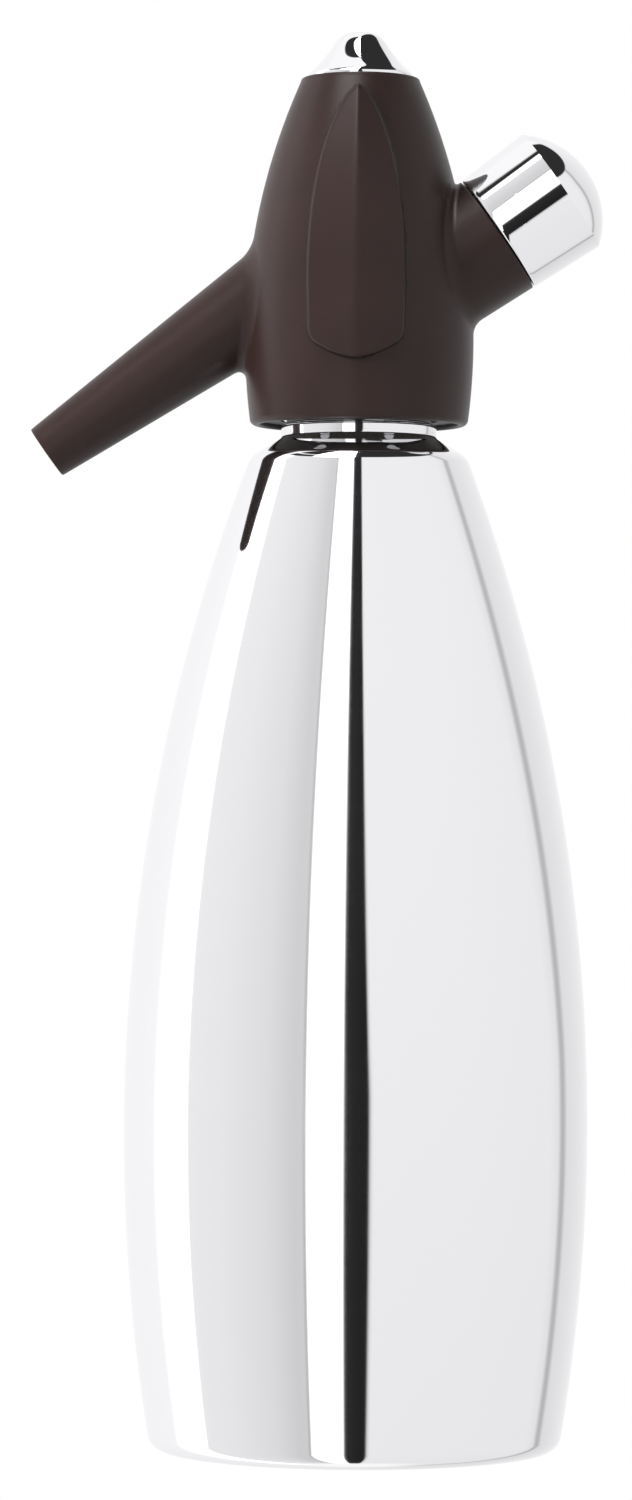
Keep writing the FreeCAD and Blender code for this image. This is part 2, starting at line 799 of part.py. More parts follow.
def make_head_shell():
    """The one-piece moulding of bell, spout and charger boss, hollow inside."""
    bell = new_body("Bell")
    revolve(bell, "Bell", bell_path(as_size(0), HEAD_LOW, HEAD_TOP))
    spout_run = SPOUT_LENGTH - size.SpoutRoot
    spout = taper(
        "Spout_cone",
        size.SpoutTipRadius,
        spout_radius(spout_run),
        spout_run,
        **on_spout_axis(),
    )
    boss = taper(
        "Boss_cone",
        boss_radius(size.BossRoot),
        BOSS_RADIUS,
        size.BossFace - size.BossRoot,
        **on_holder_axis(size.BossRoot),
    )
    outside = joined("Head_outside", [bell, spout, boss])
    cavity = new_body("Head_cavity")
    section = [
        (0, HEAD_LOW - 1),
        (HEAD_BORE, HEAD_LOW - 1),
        (HEAD_BORE, LEDGE),
        (LEDGE_BORE, LEDGE),
        (LEDGE_BORE, LEDGE_TOP),
        (head_radius(LEDGE_TOP, size.ShellWall), LEDGE_TOP),
        Arc(HEAD_FLANK - size.ShellWall, LEFT),
        (head_radius(ROOF, size.ShellWall), ROOF),
        (BUTTON_BORE, ROOF),
        (BUTTON_BORE, HEAD_TOP + 1),
        (0, HEAD_TOP + 1),
    ]
    revolve(cavity, "Head_cavity", section)
    bosses = []
    pilots = []
    for index, (side, front) in enumerate(SCREW_SPOTS, 1):
        spot = screw_place(side, front, LEDGE)
        bosses.append(rod(f"Screw_boss_{index}", size.ScrewBossRadius, size.ScrewBossHeight, **spot))
        pilot_radius = size.ScrewRadius + size.PushGap
        pilots.append(
            rod(f"Pilot_{index}", pilot_radius, size.ScrewReach + size.LooseGap, **spot)
        )
    hollow = without("Head_hollow", cavity, bosses)
    spout_bore = taper(
        "Spout_bore",
        size.SpoutTipRadius - size.SpoutWall,
        spout_radius(spout_run) - size.SpoutWall,
        spout_run,
        **on_spout_axis(),
    )
    boss_bore = rod(
        "Boss_bore",
        BOSS_BORE,
        size.BossFace,
        **on_holder_axis(size.SocketStart),
    )
    shell = without("Head_cut", outside, [hollow, spout_bore, boss_bore] + pilots)
    document.recompute()
    rounded = document.addObject("Part::Fillet", "Head_rounded")
    rounded.Base = shell
    edges = []
    for number, edge in enumerate(shell.Shape.Edges, 1):
        if not isinstance(edge.Curve, Part.Circle):
            continue
        centre = edge.Curve.Center
        radius = edge.Curve.Radius
        level = abs(edge.Curve.Axis.z) > 0.999
        bottom = head_radius(HEAD_LOW).value
        top = head_radius(HEAD_TOP).value
        if level and abs(centre.z - HEAD_LOW.value) < 0.01 and abs(radius - bottom) < 0.01:
            edges.append((number, size.HeadBottomRound.value, size.HeadBottomRound.value))
        if level and abs(centre.z - HEAD_TOP.value) < 0.01 and abs(radius - top) < 0.01:
            edges.append((number, size.HeadTopRound.value, size.HeadTopRound.value))
        if not level and abs(radius - size.SpoutTipRadius.value) < 0.01:
            edges.append((number, size.SpoutRound.value, size.SpoutRound.value))
    rounded.Edges = edges
    as_node(rounded, "head_shell")


def leaf_outline():
    """The grip's outline seen from the front: a leaf with a blunt lower end."""
    half = size.LeafHalfWidth
    top = size.LeafTopHalfWidth
    corner = size.LeafCornerRadius
    tip = size.LeafTipRadius
    shoulder = LEAF_TOP - top * 0.6
    inward = half - top
    climb = shoulder - LEAF_WIDE
    side = (inward * inward + climb * climb) / (inward * 2)
    right = [
        (tip * 0.35, LEAF_TIP + tip * 0.07),
        (half - corner * 0.75, LEAF_CORNER - corner * 0.35),
        Arc(corner, LEFT),
        (half - corner * 0.05, LEAF_CORNER + corner * 0.7),
        (half, LEAF_WIDE),
        Arc(side, LEFT),
        (top, shoulder),
        Arc(top * 1.05, LEFT),
    ]
    left = [
        (-top, shoulder),
        Arc(side, LEFT),
        (-half, LEAF_WIDE),
        (corner * 0.05 - half, LEAF_CORNER + corner * 0.7),
        Arc(corner, LEFT),
        (corner * 0.75 - half, LEAF_CORNER - corner * 0.35),
        (tip * -0.35, LEAF_TIP + tip * 0.07),
        Arc(tip, LEFT),
    ]
    return right + left


def leaf_slab(name, side, front):
    """A slab with the grip's side curve, turned a little about the ridge."""
    slab = new_body(name)
    reach = HEAD_RADIUS + size.LeafRise
    flank = HEAD_FLANK
    low = HEAD_LOW
    high = HEAD_TOP
    centre = reach - flank
    section = [
        (0, low),
        (centre + arc_half(flank, low - BELLY), low),
        Arc(flank, LEFT),
        (centre + arc_half(flank, high - BELLY), high),
        (0, high),
    ]
    sketch = draw(slab, f"Side_{name}", section)
    pad = slab.newObject("PartDesign::Pad", f"Slab_{name}")
    pad.Profile = sketch
    pad.Midplane = True
    bind(pad, Length=HEAD_RADIUS * 4)
    pad.Length = (HEAD_RADIUS * 4).value
    sketch.Visibility = False
    facing = as_size(90 * front) + size.LeafPitch * side
    place(slab, turn=facing)
    return slab


def make_leaf(name, front):
    """A raised grip on the bell: front is -1 for the side towards -Y and 1 for +Y."""
    plate = new_body(f"Plate_{name}")
    sketch = draw(plate, f"Outline_{name}", leaf_outline())
    pad = plate.newObject("PartDesign::Pad", f"Pad_{name}")
    pad.Profile = sketch
    pad.Reversed = front > 0
    reach = HEAD_RADIUS + size.LeafRise * 2
    bind(pad, Length=reach)
    pad.Length = reach.value
    sketch.Visibility = False
    right = leaf_slab(f"{name}_right", 1, front)
    left = leaf_slab(f"{name}_left", -1, front)
    roof = document.addObject("Part::MultiCommon", f"Roof_{name}")
    roof.Shapes = [plate, right, left]
    bell = document.getObject("Body_Bell")
    leaf = without(f"Leaf_{name}", roof, [bell])
    document.recompute()
    as_node(leaf, name)


# Head inside
SEAT_DEPTH = size.SealFace - size.SealThickness
PIN_START = SEAT_DEPTH - size.PinLength
CHARGER_NECK_END = size.SealFace + size.ChargerNeckLength
CHARGER_CONE_END = CHARGER_NECK_END + size.ChargerConeLength
NECK_CAVITY = size.ChargerNeckRadius + size.ChargerNeckGap
SPOUT_SEAL_MAJOR = size.SpoutTubeRadius + size.SpoutSealRadius
RING_LOW = HEAD_LOW + size.RingRise


def make_thread_ring():
    """The metal ring inside the head that screws onto the neck."""
    bore = size.NeckRadius + size.ThreadClearance
    outer = HEAD_BORE - size.PushGap
    blank = rod("Ring_blank", outer, VALVE_BOTTOM - RING_LOW, up=RING_LOW)
    tools = [rod("Ring_bore", bore, VALVE_BOTTOM - RING_LOW + 2, up=RING_LOW - 1)]
    for index, (side, front) in enumerate(SCREW_SPOTS, 1):
        low = screw_place(side, front, RING_LOW - 1)
        head_room = size.ScrewHeadHeight + size.LooseGap + 1
        tools.append(
            rod(f"Ring_recess_{index}", size.ScrewHeadRadius + size.PushGap, head_room, **low)
        )
        tools.append(
            rod(
                f"Ring_hole_{index}",
                size.ScrewRadius + size.RunningGap,
                VALVE_BOTTOM - RING_LOW + 2,
                **low,
            )
        )
    as_node(without("Ring_cut", blank, tools), "head_thread_ring")


def make_valve_body():
    """The block that holds the valve stem, the dip tube and the charger socket."""
    disc = rod("Valve_disc", VALVE_RADIUS, LEDGE - VALVE_BOTTOM, up=VALVE_BOTTOM)
    tower = rod("Valve_tower", size.TowerRadius, TOWER_TOP - VALVE_BOTTOM, up=VALVE_BOTTOM)
    blank = joined("Valve_blank", [disc, tower])
    stem_bore = size.StemRadius + size.RunningGap
    socket_length = size.BossFace
    tube_bore = size.TubeRadius + size.RunningGap
    cross_run = size.ChannelOffset
    tools = [
        rod("Stem_bore", stem_bore, TOWER_TOP, up=STEM_BORE_LOW),
        rod(
            "Gland_bore",
            size.GlandRadius + size.PushGap,
            size.GlandLength + 1,
            up=TOWER_TOP - size.GlandLength,
        ),
        rod("Tube_socket", tube_bore, size.TubeSocketDepth + 1, up=VALVE_BOTTOM - 1),
        rod(
            "Tube_seal_groove",
            size.TubeRadius + size.TubeSealRadius * 2 + size.RunningGap,
            size.TubeSealRadius * 2 + size.RunningGap * 2,
            up=TUBE_SEAL_Z - size.TubeSealRadius - size.RunningGap,
        ),
        rod("Tube_chamber", size.TubeBore, size.ChannelRadius * 1.5, up=TUBE_SOCKET_TOP - size.LooseGap),
        rod(
            "Liquid_riser",
            size.ChannelRadius,
            INLET_LEVEL - CROSS_LEVEL,
            along=cross_run,
            up=CROSS_LEVEL,
        ),
        rod("Socket_bore", BOSS_BORE, socket_length, **on_holder_axis(size.SocketStart)),
        taper(
            "Charger_throat",
            NECK_CAVITY,
            SOCKET_BORE,
            size.ChargerConeLength,
            **on_holder_axis(CHARGER_NECK_END - size.LooseGap),
        ),
        rod(
            "Throat_mouth",
            SOCKET_BORE,
            size.SocketStart - CHARGER_CONE_END + size.LooseGap * 2,
            **on_holder_axis(CHARGER_CONE_END - size.LooseGap * 1.5),
        ),
        rod(
            "Charger_neck_bore",
            NECK_CAVITY,
            CHARGER_NECK_END - SEAT_DEPTH,
            **on_holder_axis(SEAT_DEPTH),
        ),
        rod(
            "Pin_bore",
            size.PinRadius + size.PushGap,
            size.PinLength + 1,
            **on_holder_axis(PIN_START),
        ),
        rod(
            "Gas_channel",
            size.ChannelRadius,
            HOLDER_LEVEL + HOLDER_Z * (PIN_START + 1) - VALVE_BOTTOM,
            across=-size.GasOffset,
            up=VALVE_BOTTOM,
        ),
        rod(
            "Gas_port",
            size.GasPortRadius,
            size.GasPortDepth + 1,
            across=-size.GasOffset,
            up=VALVE_BOTTOM - 1,
        ),
        rod(
            "Outlet_port",
            size.SpoutTubeBore,
            size.TowerRadius,
            **on_spout_axis(SPOUT_LENGTH - size.TowerRadius),
        ),
        rod(
            "Outlet_socket",
            size.SpoutTubeRadius + size.PushGap,
            VALVE_RADIUS * 1.5,
            **on_spout_axis(SPOUT_LENGTH - size.SpoutTubeStart - VALVE_RADIUS * 1.5),
        ),
        rod(
            "Outlet_groove",
            SPOUT_SEAL_MAJOR + size.SpoutSealRadius + size.PushGap,
            size.SpoutSealRadius * 2 + size.PushGap * 2,
            **on_spout_axis(
                SPOUT_LENGTH - size.SpoutSealPlace - size.SpoutSealRadius - size.PushGap
            ),
        ),
    ]
    for name, height in (("Cross_low", CROSS_LEVEL), ("Cross_high", INLET_LEVEL)):
        cross = document.addObject("Part::Cylinder", name)
        bind(cross, Radius=size.ChannelRadius, Height=cross_run)
        cross.Placement = FreeCAD.Placement(
            FreeCAD.Vector(0, 0, height.value), FreeCAD.Rotation(FreeCAD.Vector(1, 0, 0), -90)
        )
        cross.setExpression("Placement.Base.z", height.text)
        tools.append(cross)
    for index, (side, front) in enumerate(SCREW_SPOTS, 1):
        low = screw_place(side, front, VALVE_BOTTOM - 1)
        hole = size.ScrewRadius + size.RunningGap
        tools.append(rod(f"Valve_hole_{index}", hole, LEDGE, **low))
    as_node(without("Valve_cut", blank, tools), "valve_body")


def make_screws():
    """Four long screws from under the thread ring into the shell's bosses."""
    seat = RING_LOW + size.LooseGap
    neck = seat + size.ScrewHeadHeight
    screws = []
    for index, (side, front) in enumerate(SCREW_SPOTS, 1):
        head = rod(
            f"Screw_head_{index}",
            size.ScrewHeadRadius,
            size.ScrewHeadHeight,
            **screw_place(side, front, seat),
        )
        drive = rod(
            f"Screw_drive_{index}",
            size.ScrewRadius * 0.8,
            size.ScrewHeadHeight * 0.6,
            **screw_place(side, front, seat),
        )
        length = LEDGE + size.ScrewReach - neck
        shank = rod(f"Screw_shank_{index}", size.ScrewRadius, length, **screw_place(side, front, neck))
        whole = joined(f"Screw_whole_{index}", [head, shank])
        screws.append(without(f"Screw_{index}", whole, [drive]))
    grouped("body_screws", screws)


def make_spout_inside():
    run = SPOUT_LENGTH - size.SpoutTubeStart - size.NozzleLength + size.NozzleSeat
    start = size.NozzleLength - size.NozzleSeat
    turned_part(
        "spout_tube",
        tube_path(size.SpoutTubeBore, size.SpoutTubeRadius, 0, run),
        **on_spout_axis(start),
    )
    seal_spot = SPOUT_LENGTH - size.SpoutSealPlace
    seal = ring("Spout_seal_ring", SPOUT_SEAL_MAJOR, size.SpoutSealRadius, **on_spout_axis(seal_spot))
    as_node(seal, "spout_seal")
    wall = size.SpoutWall + size.PushGap
    seat = size.SpoutTubeRadius + size.PushGap
    turned_part(
        "spout_nozzle",
        [
            (size.NozzleFlare, size.LooseGap),
            (spout_radius(size.LooseGap) - wall, size.LooseGap),
            (spout_radius(size.NozzleLength) - wall, size.NozzleLength),
            (seat, size.NozzleLength),
            (seat, start),
            (size.SpoutTubeBore, start),
        ],
        **on_spout_axis(),
    )


def make_charger_line():
    """The socket, seal and piercing pin that take the charger."""
    turned_part(
        "charger_socket",
        [
            (SOCKET_BORE, 0),
            (SOCKET_RADIUS, 0),
            (SOCKET_RADIUS, size.BossFace - size.SocketInset - size.SocketStart),
            (
                SLEEVE_RADIUS + size.RunningGap * 2,
                size.BossFace - size.SocketInset - size.SocketStart,
            ),
            (SLEEVE_RADIUS + size.RunningGap * 2, SOCKET_STEP - size.SocketStart),
            (SOCKET_BORE, SOCKET_STEP - size.SocketStart),
        ],
        **on_holder_axis(size.SocketStart),
    )
    turned_part(
        "charger_seal",
        tube_path(size.SealBore, NECK_CAVITY - size.PushGap, 0, size.SealThickness),
        **on_holder_axis(SEAT_DEPTH),
    )
    waist = size.PinRadius * 0.6
    needle_tip = size.PinLength + size.NeedleLength
    turned_part(
        "pierce_pin",
        [
            (0, 0),
            (size.PinRadius, 0),
            (size.PinRadius, size.PinLength * 0.1),
            (waist, size.PinLength * 0.1),
            (waist, size.PinLength * 0.5),
            (size.PinRadius, size.PinLength * 0.5),
            (size.PinRadius, size.PinLength),
            (size.NeedleRadius, size.PinLength),
            (size.NeedleRadius, needle_tip - size.NeedleRadius),
            (0, needle_tip),
        ],
        **on_holder_axis(PIN_START),
    )
    top = VALVE_BOTTOM + size.GasPortDepth - size.PushGap
    radius = size.GasPortRadius - size.PushGap
    turned_part(
        "gas_check_valve",
        tube_path(size.CheckValveBore, radius, top - size.CheckValveLength, top),
        across=-size.GasOffset,
    )


# Button side of the valve
FLANGE_TOP = ROOF - size.PushGap
FLANGE_LOW = FLANGE_TOP - size.FlangeThickness
SKIRT_LOW = FLANGE_TOP + size.PushGap
EDGE_HEIGHT = BUTTON_TOP - size.ButtonEdgeDrop
EDGE_LOW = EDGE_HEIGHT - (size.ButtonRadius - BUTTON_EDGE)
NOSE_RISE = arc_half(size.ButtonNose, size.ButtonNoseHalf)


def button_crown(inset):
    """The button's crown from its lower edge to its nose, moved in by a wall."""
    edge = BUTTON_EDGE - inset
    neck = size.ButtonNeckRadius - inset * 0.8
    nose_share = (size.ButtonNose - inset) / size.ButtonNose
    nose_centre = BUTTON_TOP - size.ButtonNose
    drop = inset * 0.9
    return [
        (edge, EDGE_HEIGHT - drop),
        Arc(size.ButtonFlare, RIGHT),
        (neck, BUTTON_TOP - size.ButtonNeckDrop - drop),
        Arc(size.ButtonBrow, LEFT),
        (size.ButtonNoseHalf * nose_share, nose_centre + NOSE_RISE * nose_share),
        Arc(size.ButtonNose - inset, LEFT),
        (0, BUTTON_TOP - inset),
    ]


def make_button():
    wall = size.ButtonWall
    outside = button_crown(as_size(0))
    inside = backwards(button_crown(wall))
    skirt_low = EDGE_LOW - size.ButtonSkirt
    skirt = [
        (size.ButtonRadius - wall, skirt_low),
        (size.ButtonRadius, skirt_low),
        (size.ButtonRadius, EDGE_LOW),
    ]
    section = (
        skirt
        + outside
        + inside
        + [(size.ButtonRadius - wall, EDGE_LOW - wall)]
    )
    turned_part("push_button", section)
    plug = size.ButtonRadius - wall - size.PushGap
    carrier_top = FLANGE_LOW + size.CarrierHeight
    pocket_floor = carrier_top - size.NutThickness - size.LooseGap
    turned_part(
        "button_carrier",
        [
            (size.StemHeadRadius + size.PushGap, FLANGE_LOW),
            (FLANGE_RADIUS, FLANGE_LOW),
            (FLANGE_RADIUS, FLANGE_TOP),
            (plug, FLANGE_TOP),
            (plug, carrier_top),
            (size.NutPocketRadius, carrier_top),
            (size.NutPocketRadius, pocket_floor),
            (size.StemHeadRadius + size.PushGap, pocket_floor),
        ],
    )
    nut = new_body("stem_nut")
    flats = size.NutWidth / 2
    corner = flats * 2 / root(as_size(3))
    half_corner = corner / 2
    outline = [
        (corner, 0),
        (half_corner, flats),
        (-half_corner, flats),
        (-corner, 0),
        (-half_corner, -flats),
        (half_corner, -flats),
    ]
    sketch = draw(nut, "Hexagon", outline, role="XY_Plane")
    pad = nut.newObject("PartDesign::Pad", "Nut_pad")
    pad.Profile = sketch
    bind(pad, Length=size.NutThickness)
    pad.Length = size.NutThickness.value
    hole_sketch = nut.newObject("Sketcher::SketchObject", "Nut_hole_circle")
    plane = [p for p in nut.Origin.OriginFeatures if p.Role == "XY_Plane"][0]
    hole_sketch.AttachmentSupport = (plane, "")
    hole_sketch.MapMode = "FlatFace"
    hole_radius = size.StemHeadRadius + size.PushGap
    circle = Part.Circle(FreeCAD.Vector(), FreeCAD.Vector(0, 0, 1), hole_radius.value)
    hole_sketch.addGeometry(circle, False)
    hole_sketch.addConstraint(Sketcher.Constraint("Coincident", 0, 3, -1, 1))
    number = hole_sketch.addConstraint(Sketcher.Constraint("Radius", 0, hole_radius.value))
    hole_sketch.setExpression(f"Constraints[{number}]", hole_radius.text)
    pocket = nut.newObject("PartDesign::Pocket", "Nut_hole")
    pocket.Profile = hole_sketch
    pocket.Type = 1
    pocket.Midplane = True
    sketch.Visibility = False
    hole_sketch.Visibility = False
    place(nut, up=pocket_floor)
    nodes["stem_nut"] = nut
    return pocket_floor


def groove(height):
    """Four outline points for a ring groove in the stem, from its lower lip up."""
    core = size.WaistRadius
    half = size.GrooveWidth / 2
    return [
        (size.StemRadius, height - half),
        (core, height - half),
        (core, height + half),
        (size.StemRadius, height + half),
    ]


def make_stem(pocket_floor):
    """The spool that opens the valve when the button is pressed."""
    stem_top = pocket_floor + size.NutThickness
    section = (
        [(0, STEM_LOW), (size.StemRadius, STEM_LOW)]
        + groove(LOWER_GROOVE)
        + [
            (size.StemRadius, WAIST_LOW),
            (size.WaistRadius, WAIST_LOW + size.StemRadius - size.WaistRadius),
            (size.WaistRadius, WAIST_TOP - (size.StemRadius - size.WaistRadius)),
            (size.StemRadius, WAIST_TOP),
        ]
        + groove(UPPER_GROOVE)
        + [
            (size.StemRadius, FLANGE_LOW),
            (size.StemHeadRadius, FLANGE_LOW),
            (size.StemHeadRadius, stem_top),
            (0, stem_top),
        ]
    )
    turned_part("valve_stem", section)
    major = size.StemRadius - size.StemRingRadius
    rings = [
        ring("Stem_ring_low", major, size.StemRingRadius, up=LOWER_GROOVE),
        ring("Stem_ring_high", major, size.StemRingRadius, up=UPPER_GROOVE),
    ]
    grouped("stem_o_rings", rings)
    gland_low = TOWER_TOP - size.GlandLength
    turned_part(
        "stem_gland",
        tube_path(size.StemRadius + size.RunningGap, size.GlandRadius, gland_low, TOWER_TOP),
    )


def make_spring():
    """The return spring between the valve tower and the button's flange."""
    helix = document.addObject("Part::Helix", "Spring_helix")
    room = FLANGE_LOW - TOWER_TOP - size.SpringWire * 2 - size.RunningGap * 2
    bind(
        helix,
        Radius=size.SpringRadius,
        Height=room,
        Pitch=room / size.SpringTurns,
    )
    wire = document.addObject("Part::Circle", "Spring_wire")
    bind(wire, Radius=size.SpringWire)
    wire.Placement = FreeCAD.Placement(
        FreeCAD.Vector(size.SpringRadius.value, 0, 0),
        FreeCAD.Rotation(FreeCAD.Vector(1, 0, 0), 90),
    )
    wire.setExpression("Placement.Base.x", size.SpringRadius.text)
    spring = document.addObject("Part::Sweep", "Spring_sweep")
    spring.Sections = [wire]
    spring.Spine = helix
    spring.Solid = True
    spring.Frenet = True
    place(spring, up=TOWER_TOP + size.SpringWire + size.RunningGap)
    as_node(spring, "return_spring")


# Charger and holder
def make_charger():
    body_end = CHARGER_END - size.ChargerRadius
    hole_floor = size.ChargerHoleDepth
    start = size.SealFace
    turned_part(
        "gas_charger",
        [
            (size.ChargerHole, 0),
            (size.ChargerNeckRadius, 0),
            (size.ChargerNeckRadius, CHARGER_NECK_END - start),
            (size.ChargerRadius, CHARGER_CONE_END - start),
            (size.ChargerRadius, body_end - start),
            Arc(size.ChargerRadius, LEFT),
            (0, CHARGER_END - start),
            (0, hole_floor),
            (size.ChargerHole, hole_floor),
        ],
        **on_holder_axis(start),
    )


def cap_dome(inset):
    """The cap's domed end from its rim to its middle, moved in by a wall."""
    drop = CAP_END - CAP_RIM
    dome = (CAP_RIM_RADIUS * CAP_RIM_RADIUS + drop * drop) / (drop * 2)
    rim = CAP_RIM_RADIUS - inset
    depth = dome - arc_half(dome - inset, rim) - inset
    return rim, CAP_END - inset - depth, dome - inset


def make_holder():
    cap_start = size.BossFace + size.CapGap
    rim, rim_height, dome = cap_dome(as_size(0))
    inner_rim, inner_height, inner_dome = cap_dome(size.CapWall)
    section = [
        (CAP_RADIUS - size.CapWall, 0),
        (CAP_RADIUS, 0),
        (rim, rim_height - cap_start),
        Arc(dome, LEFT),
        (0, CAP_END - cap_start),
        (0, CAP_END - size.CapWall - cap_start),
        Arc(inner_dome, RIGHT),
        (inner_rim, inner_height - cap_start),
    ]
    turned_part("holder_cap", section, **on_holder_axis(cap_start))
    sleeve_start = size.BossFace - size.SleeveReach
    core = SLEEVE_RADIUS - size.SleeveThreadDepth
    body = new_body("holder_sleeve")
    relief = size.LooseGap
    section = [
        (SLEEVE_BORE, 0),
        (core, 0),
        (core, cap_start + relief - sleeve_start),
        (SLEEVE_FLANGE, cap_start + relief - sleeve_start),
        (SLEEVE_FLANGE, SLEEVE_END - sleeve_start),
        (SLEEVE_BORE, SLEEVE_END - sleeve_start),
    ]
    revolve(body, "holder_sleeve", section)
    foot = size.SleeveThreadPitch * 0.6
    tip = size.SleeveThreadPitch * 0.3
    add_thread(
        body,
        "holder_sleeve",
        core,
        SLEEVE_RADIUS,
        size.SleeveThreadPitch * 0.3,
        size.SleeveThreadPitch,
        size.SleeveThreadLength,
        foot,
        tip,
    )
    place(body, **on_holder_axis(sleeve_start))
    nodes["holder_sleeve"] = body
    sphere = size.ChargerRadius + size.LooseGap
    centre = CHARGER_END - size.ChargerRadius
    pad_end = CAP_END - size.CapWall - size.LooseGap * 2
    near = PAD_START - centre
    far = CHARGER_END - size.LooseGap * 0.5 - centre
    turned_part(
        "charger_pad",
        [
            (arc_half(sphere, near), 0),
            (size.ChargerRadius, 0),
            (size.ChargerRadius, PAD_SHOULDER - PAD_START),
            (size.PadFaceRadius, pad_end - PAD_START),
            (arc_half(sphere, far), pad_end - PAD_START),
            (arc_half(sphere, far), centre + far - PAD_START),
            Arc(sphere, RIGHT),
        ],
        **on_holder_axis(PAD_START),
    )


def check_document():
    """Stops the build where an object failed or a sub-part has no sound shape."""
    for item in document.Objects:
        if "Invalid" in item.State or "Error" in item.State:
            raise RuntimeError(f"{item.Label} failed: {item.State}")
    for name, item in nodes.items():
        if item.Shape.isNull() or not item.Shape.isValid() or not item.Shape.Solids:
            raise RuntimeError(f"{name} has no valid solid")


make_bottle()
make_neck_ring()
make_gasket()
make_dip_tube()
make_head_shell()
make_leaf("grip_leaf_front", -1)
make_leaf("grip_leaf_back", 1)
make_thread_ring()
make_valve_body()
make_screws()
make_spout_inside()
make_charger_line()
make_stem(make_button())
make_spring()
make_charger()
make_holder()
document.recompute()
check_document()

os.makedirs("parts", exist_ok=True)
for name, item in nodes.items():
    item.Shape.exportStep(f"parts/{name}.step")
    solids = item.Shape.Solids
    print(f"{name}: {len(solids)} solids, {item.Shape.Volume:.1f} cubic mm")
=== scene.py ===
import json
import math

import bmesh
import bpy
import numpy as np
from bpy.props import FloatProperty, FloatVectorProperty, IntProperty, PointerProperty
from bpy.types import Operator, Panel, PropertyGroup
from mathutils import Matrix, Vector


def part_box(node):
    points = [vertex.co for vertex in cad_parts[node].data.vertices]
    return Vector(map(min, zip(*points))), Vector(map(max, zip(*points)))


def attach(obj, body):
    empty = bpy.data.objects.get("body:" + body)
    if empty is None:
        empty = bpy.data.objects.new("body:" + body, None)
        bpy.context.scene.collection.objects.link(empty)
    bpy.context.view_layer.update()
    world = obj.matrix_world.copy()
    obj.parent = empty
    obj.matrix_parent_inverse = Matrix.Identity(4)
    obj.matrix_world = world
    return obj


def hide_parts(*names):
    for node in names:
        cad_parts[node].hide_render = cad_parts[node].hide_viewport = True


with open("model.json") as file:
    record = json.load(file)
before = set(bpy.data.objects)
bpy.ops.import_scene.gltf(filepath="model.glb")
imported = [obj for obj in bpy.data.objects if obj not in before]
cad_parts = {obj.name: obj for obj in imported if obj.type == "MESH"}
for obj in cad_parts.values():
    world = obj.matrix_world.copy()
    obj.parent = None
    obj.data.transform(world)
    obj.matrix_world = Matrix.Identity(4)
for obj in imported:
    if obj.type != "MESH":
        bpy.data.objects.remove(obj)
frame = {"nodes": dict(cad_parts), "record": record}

bl_info = {
    "name": "Soda siphon",
    "version": (1, 0, 0),
    "blender": (4, 5, 0),
    "location": "View3D > Sidebar > Siphon",
    "description": "Dresses a soda siphon in polished steel, chrome and grained plastic",
    "category": "Add Mesh",
}

MM = 0.001

# Radius of the charger socket's bore through the bell and the boss
SOCKET_BORE = 12.43 * MM


def height_of(node):
    """The lowest and highest Z of a node at rest."""
    low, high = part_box(node)
    return low.z, high.z


def widest(node):
    """Half of a node's width along Y, which is the radius of a turned piece."""
    low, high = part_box(node)
    return (high.y - low.y) / 2


def length(name, description, millimetres):
    """A size that a user can change, given here in millimetres."""
    default = millimetres * MM
    return FloatProperty(name=name, description=description, unit="LENGTH", default=default)


def slant(name, description, degrees):
    """An angle that a user can change, given here in degrees."""
    default = math.radians(degrees)
    return FloatProperty(name=name, description=description, unit="ROTATION", default=default)


def tint(name, description, default):
    """A colour that a user can change."""
    return FloatVectorProperty(
        name=name, description=description, subtype="COLOR", size=3, default=default
    )


class SiphonBottleSizes(PropertyGroup):
    """The polished bottle and its neck."""

    radius: length("Radius", "Largest radius", widest("bottle_shell") / MM)
    belly: length("Belly", "Height of the largest radius", 73)
    flank: length("Flank", "Radius of the side's long arc", 428)
    foot: length("Foot", "Corner radius at the table", 4)
    ring: length("Ring", "Width of the resting ring", 6)
    shoulder_height: length("Shoulder height", "Height of the shoulder corner's centre", 221.8)
    shoulder: length("Shoulder", "Radius of the shoulder corner", 5)
    slope: slant("Slope", "Slope of the shoulder", 32)
    fillet: length("Fillet", "Radius where shoulder meets neck", 1)
    neck: length("Neck", "Outer radius of the neck", widest("neck_ring") / MM)
    collar: length("Collar", "Height of the collar", 0.5)
    wall: length("Wall", "Thickness of the sheet", 0.9)
    pitch: length("Pitch", "Pitch of the neck's thread", 2.2)
    thread: length("Thread", "Depth of the neck's thread", 1.05)
    around: IntProperty(
        name="Around", description="Faces round the bottle", min=32, max=512, default=256
    )


class SiphonHeadSizes(PropertyGroup):
    """The plastic head with its spout, charger boss and grips."""

    radius: length("Radius", "Largest radius of the bell", 26)
    belly: length("Belly", "Height of the largest radius", 252)
    flank: length("Flank", "Radius of the bell's side", 145)
    low: length("Low", "Height of the lower rim", 232.4)
    high: length("High", "Height of the upper rim", 311.5)
    wall: length("Wall", "Wall thickness", 2.4)
    slope: slant("Slope", "Slope of the spout and the charger line", 35)
    spout_reach: length("Reach", "From the head's axis to the tip", 71.2)
    spout_height: length("Spout height", "Where the spout's axis meets the head's axis", 276)
    spout_tip: length("Tip", "Radius of the spout's tip", 6.35)
    spout_flare: slant("Flare", "Taper of the spout", 4.2)
    spout_fillet: length("Spout fillet", "Blend at the root", 3.2)
    boss_height: length("Boss height", "Where the charger line meets the head's axis", 254.1)
    boss_face: length("Boss face", "From the head's axis", 38.1)
    boss_radius: length("Boss radius", "Radius at the face", 14.5)
    boss_flare: slant("Boss flare", "Taper of the boss", 2.6)
    boss_fillet: length("Boss fillet", "Blend at the root", 2.2)
    leaf_half: length("Leaf", "Half width of a grip", 11.25)
    leaf_rise: length("Rise", "Height of the grip's ridge", 2.6)
    leaf_pitch: slant("Pitch", "Slope of the grip's faces", 17)


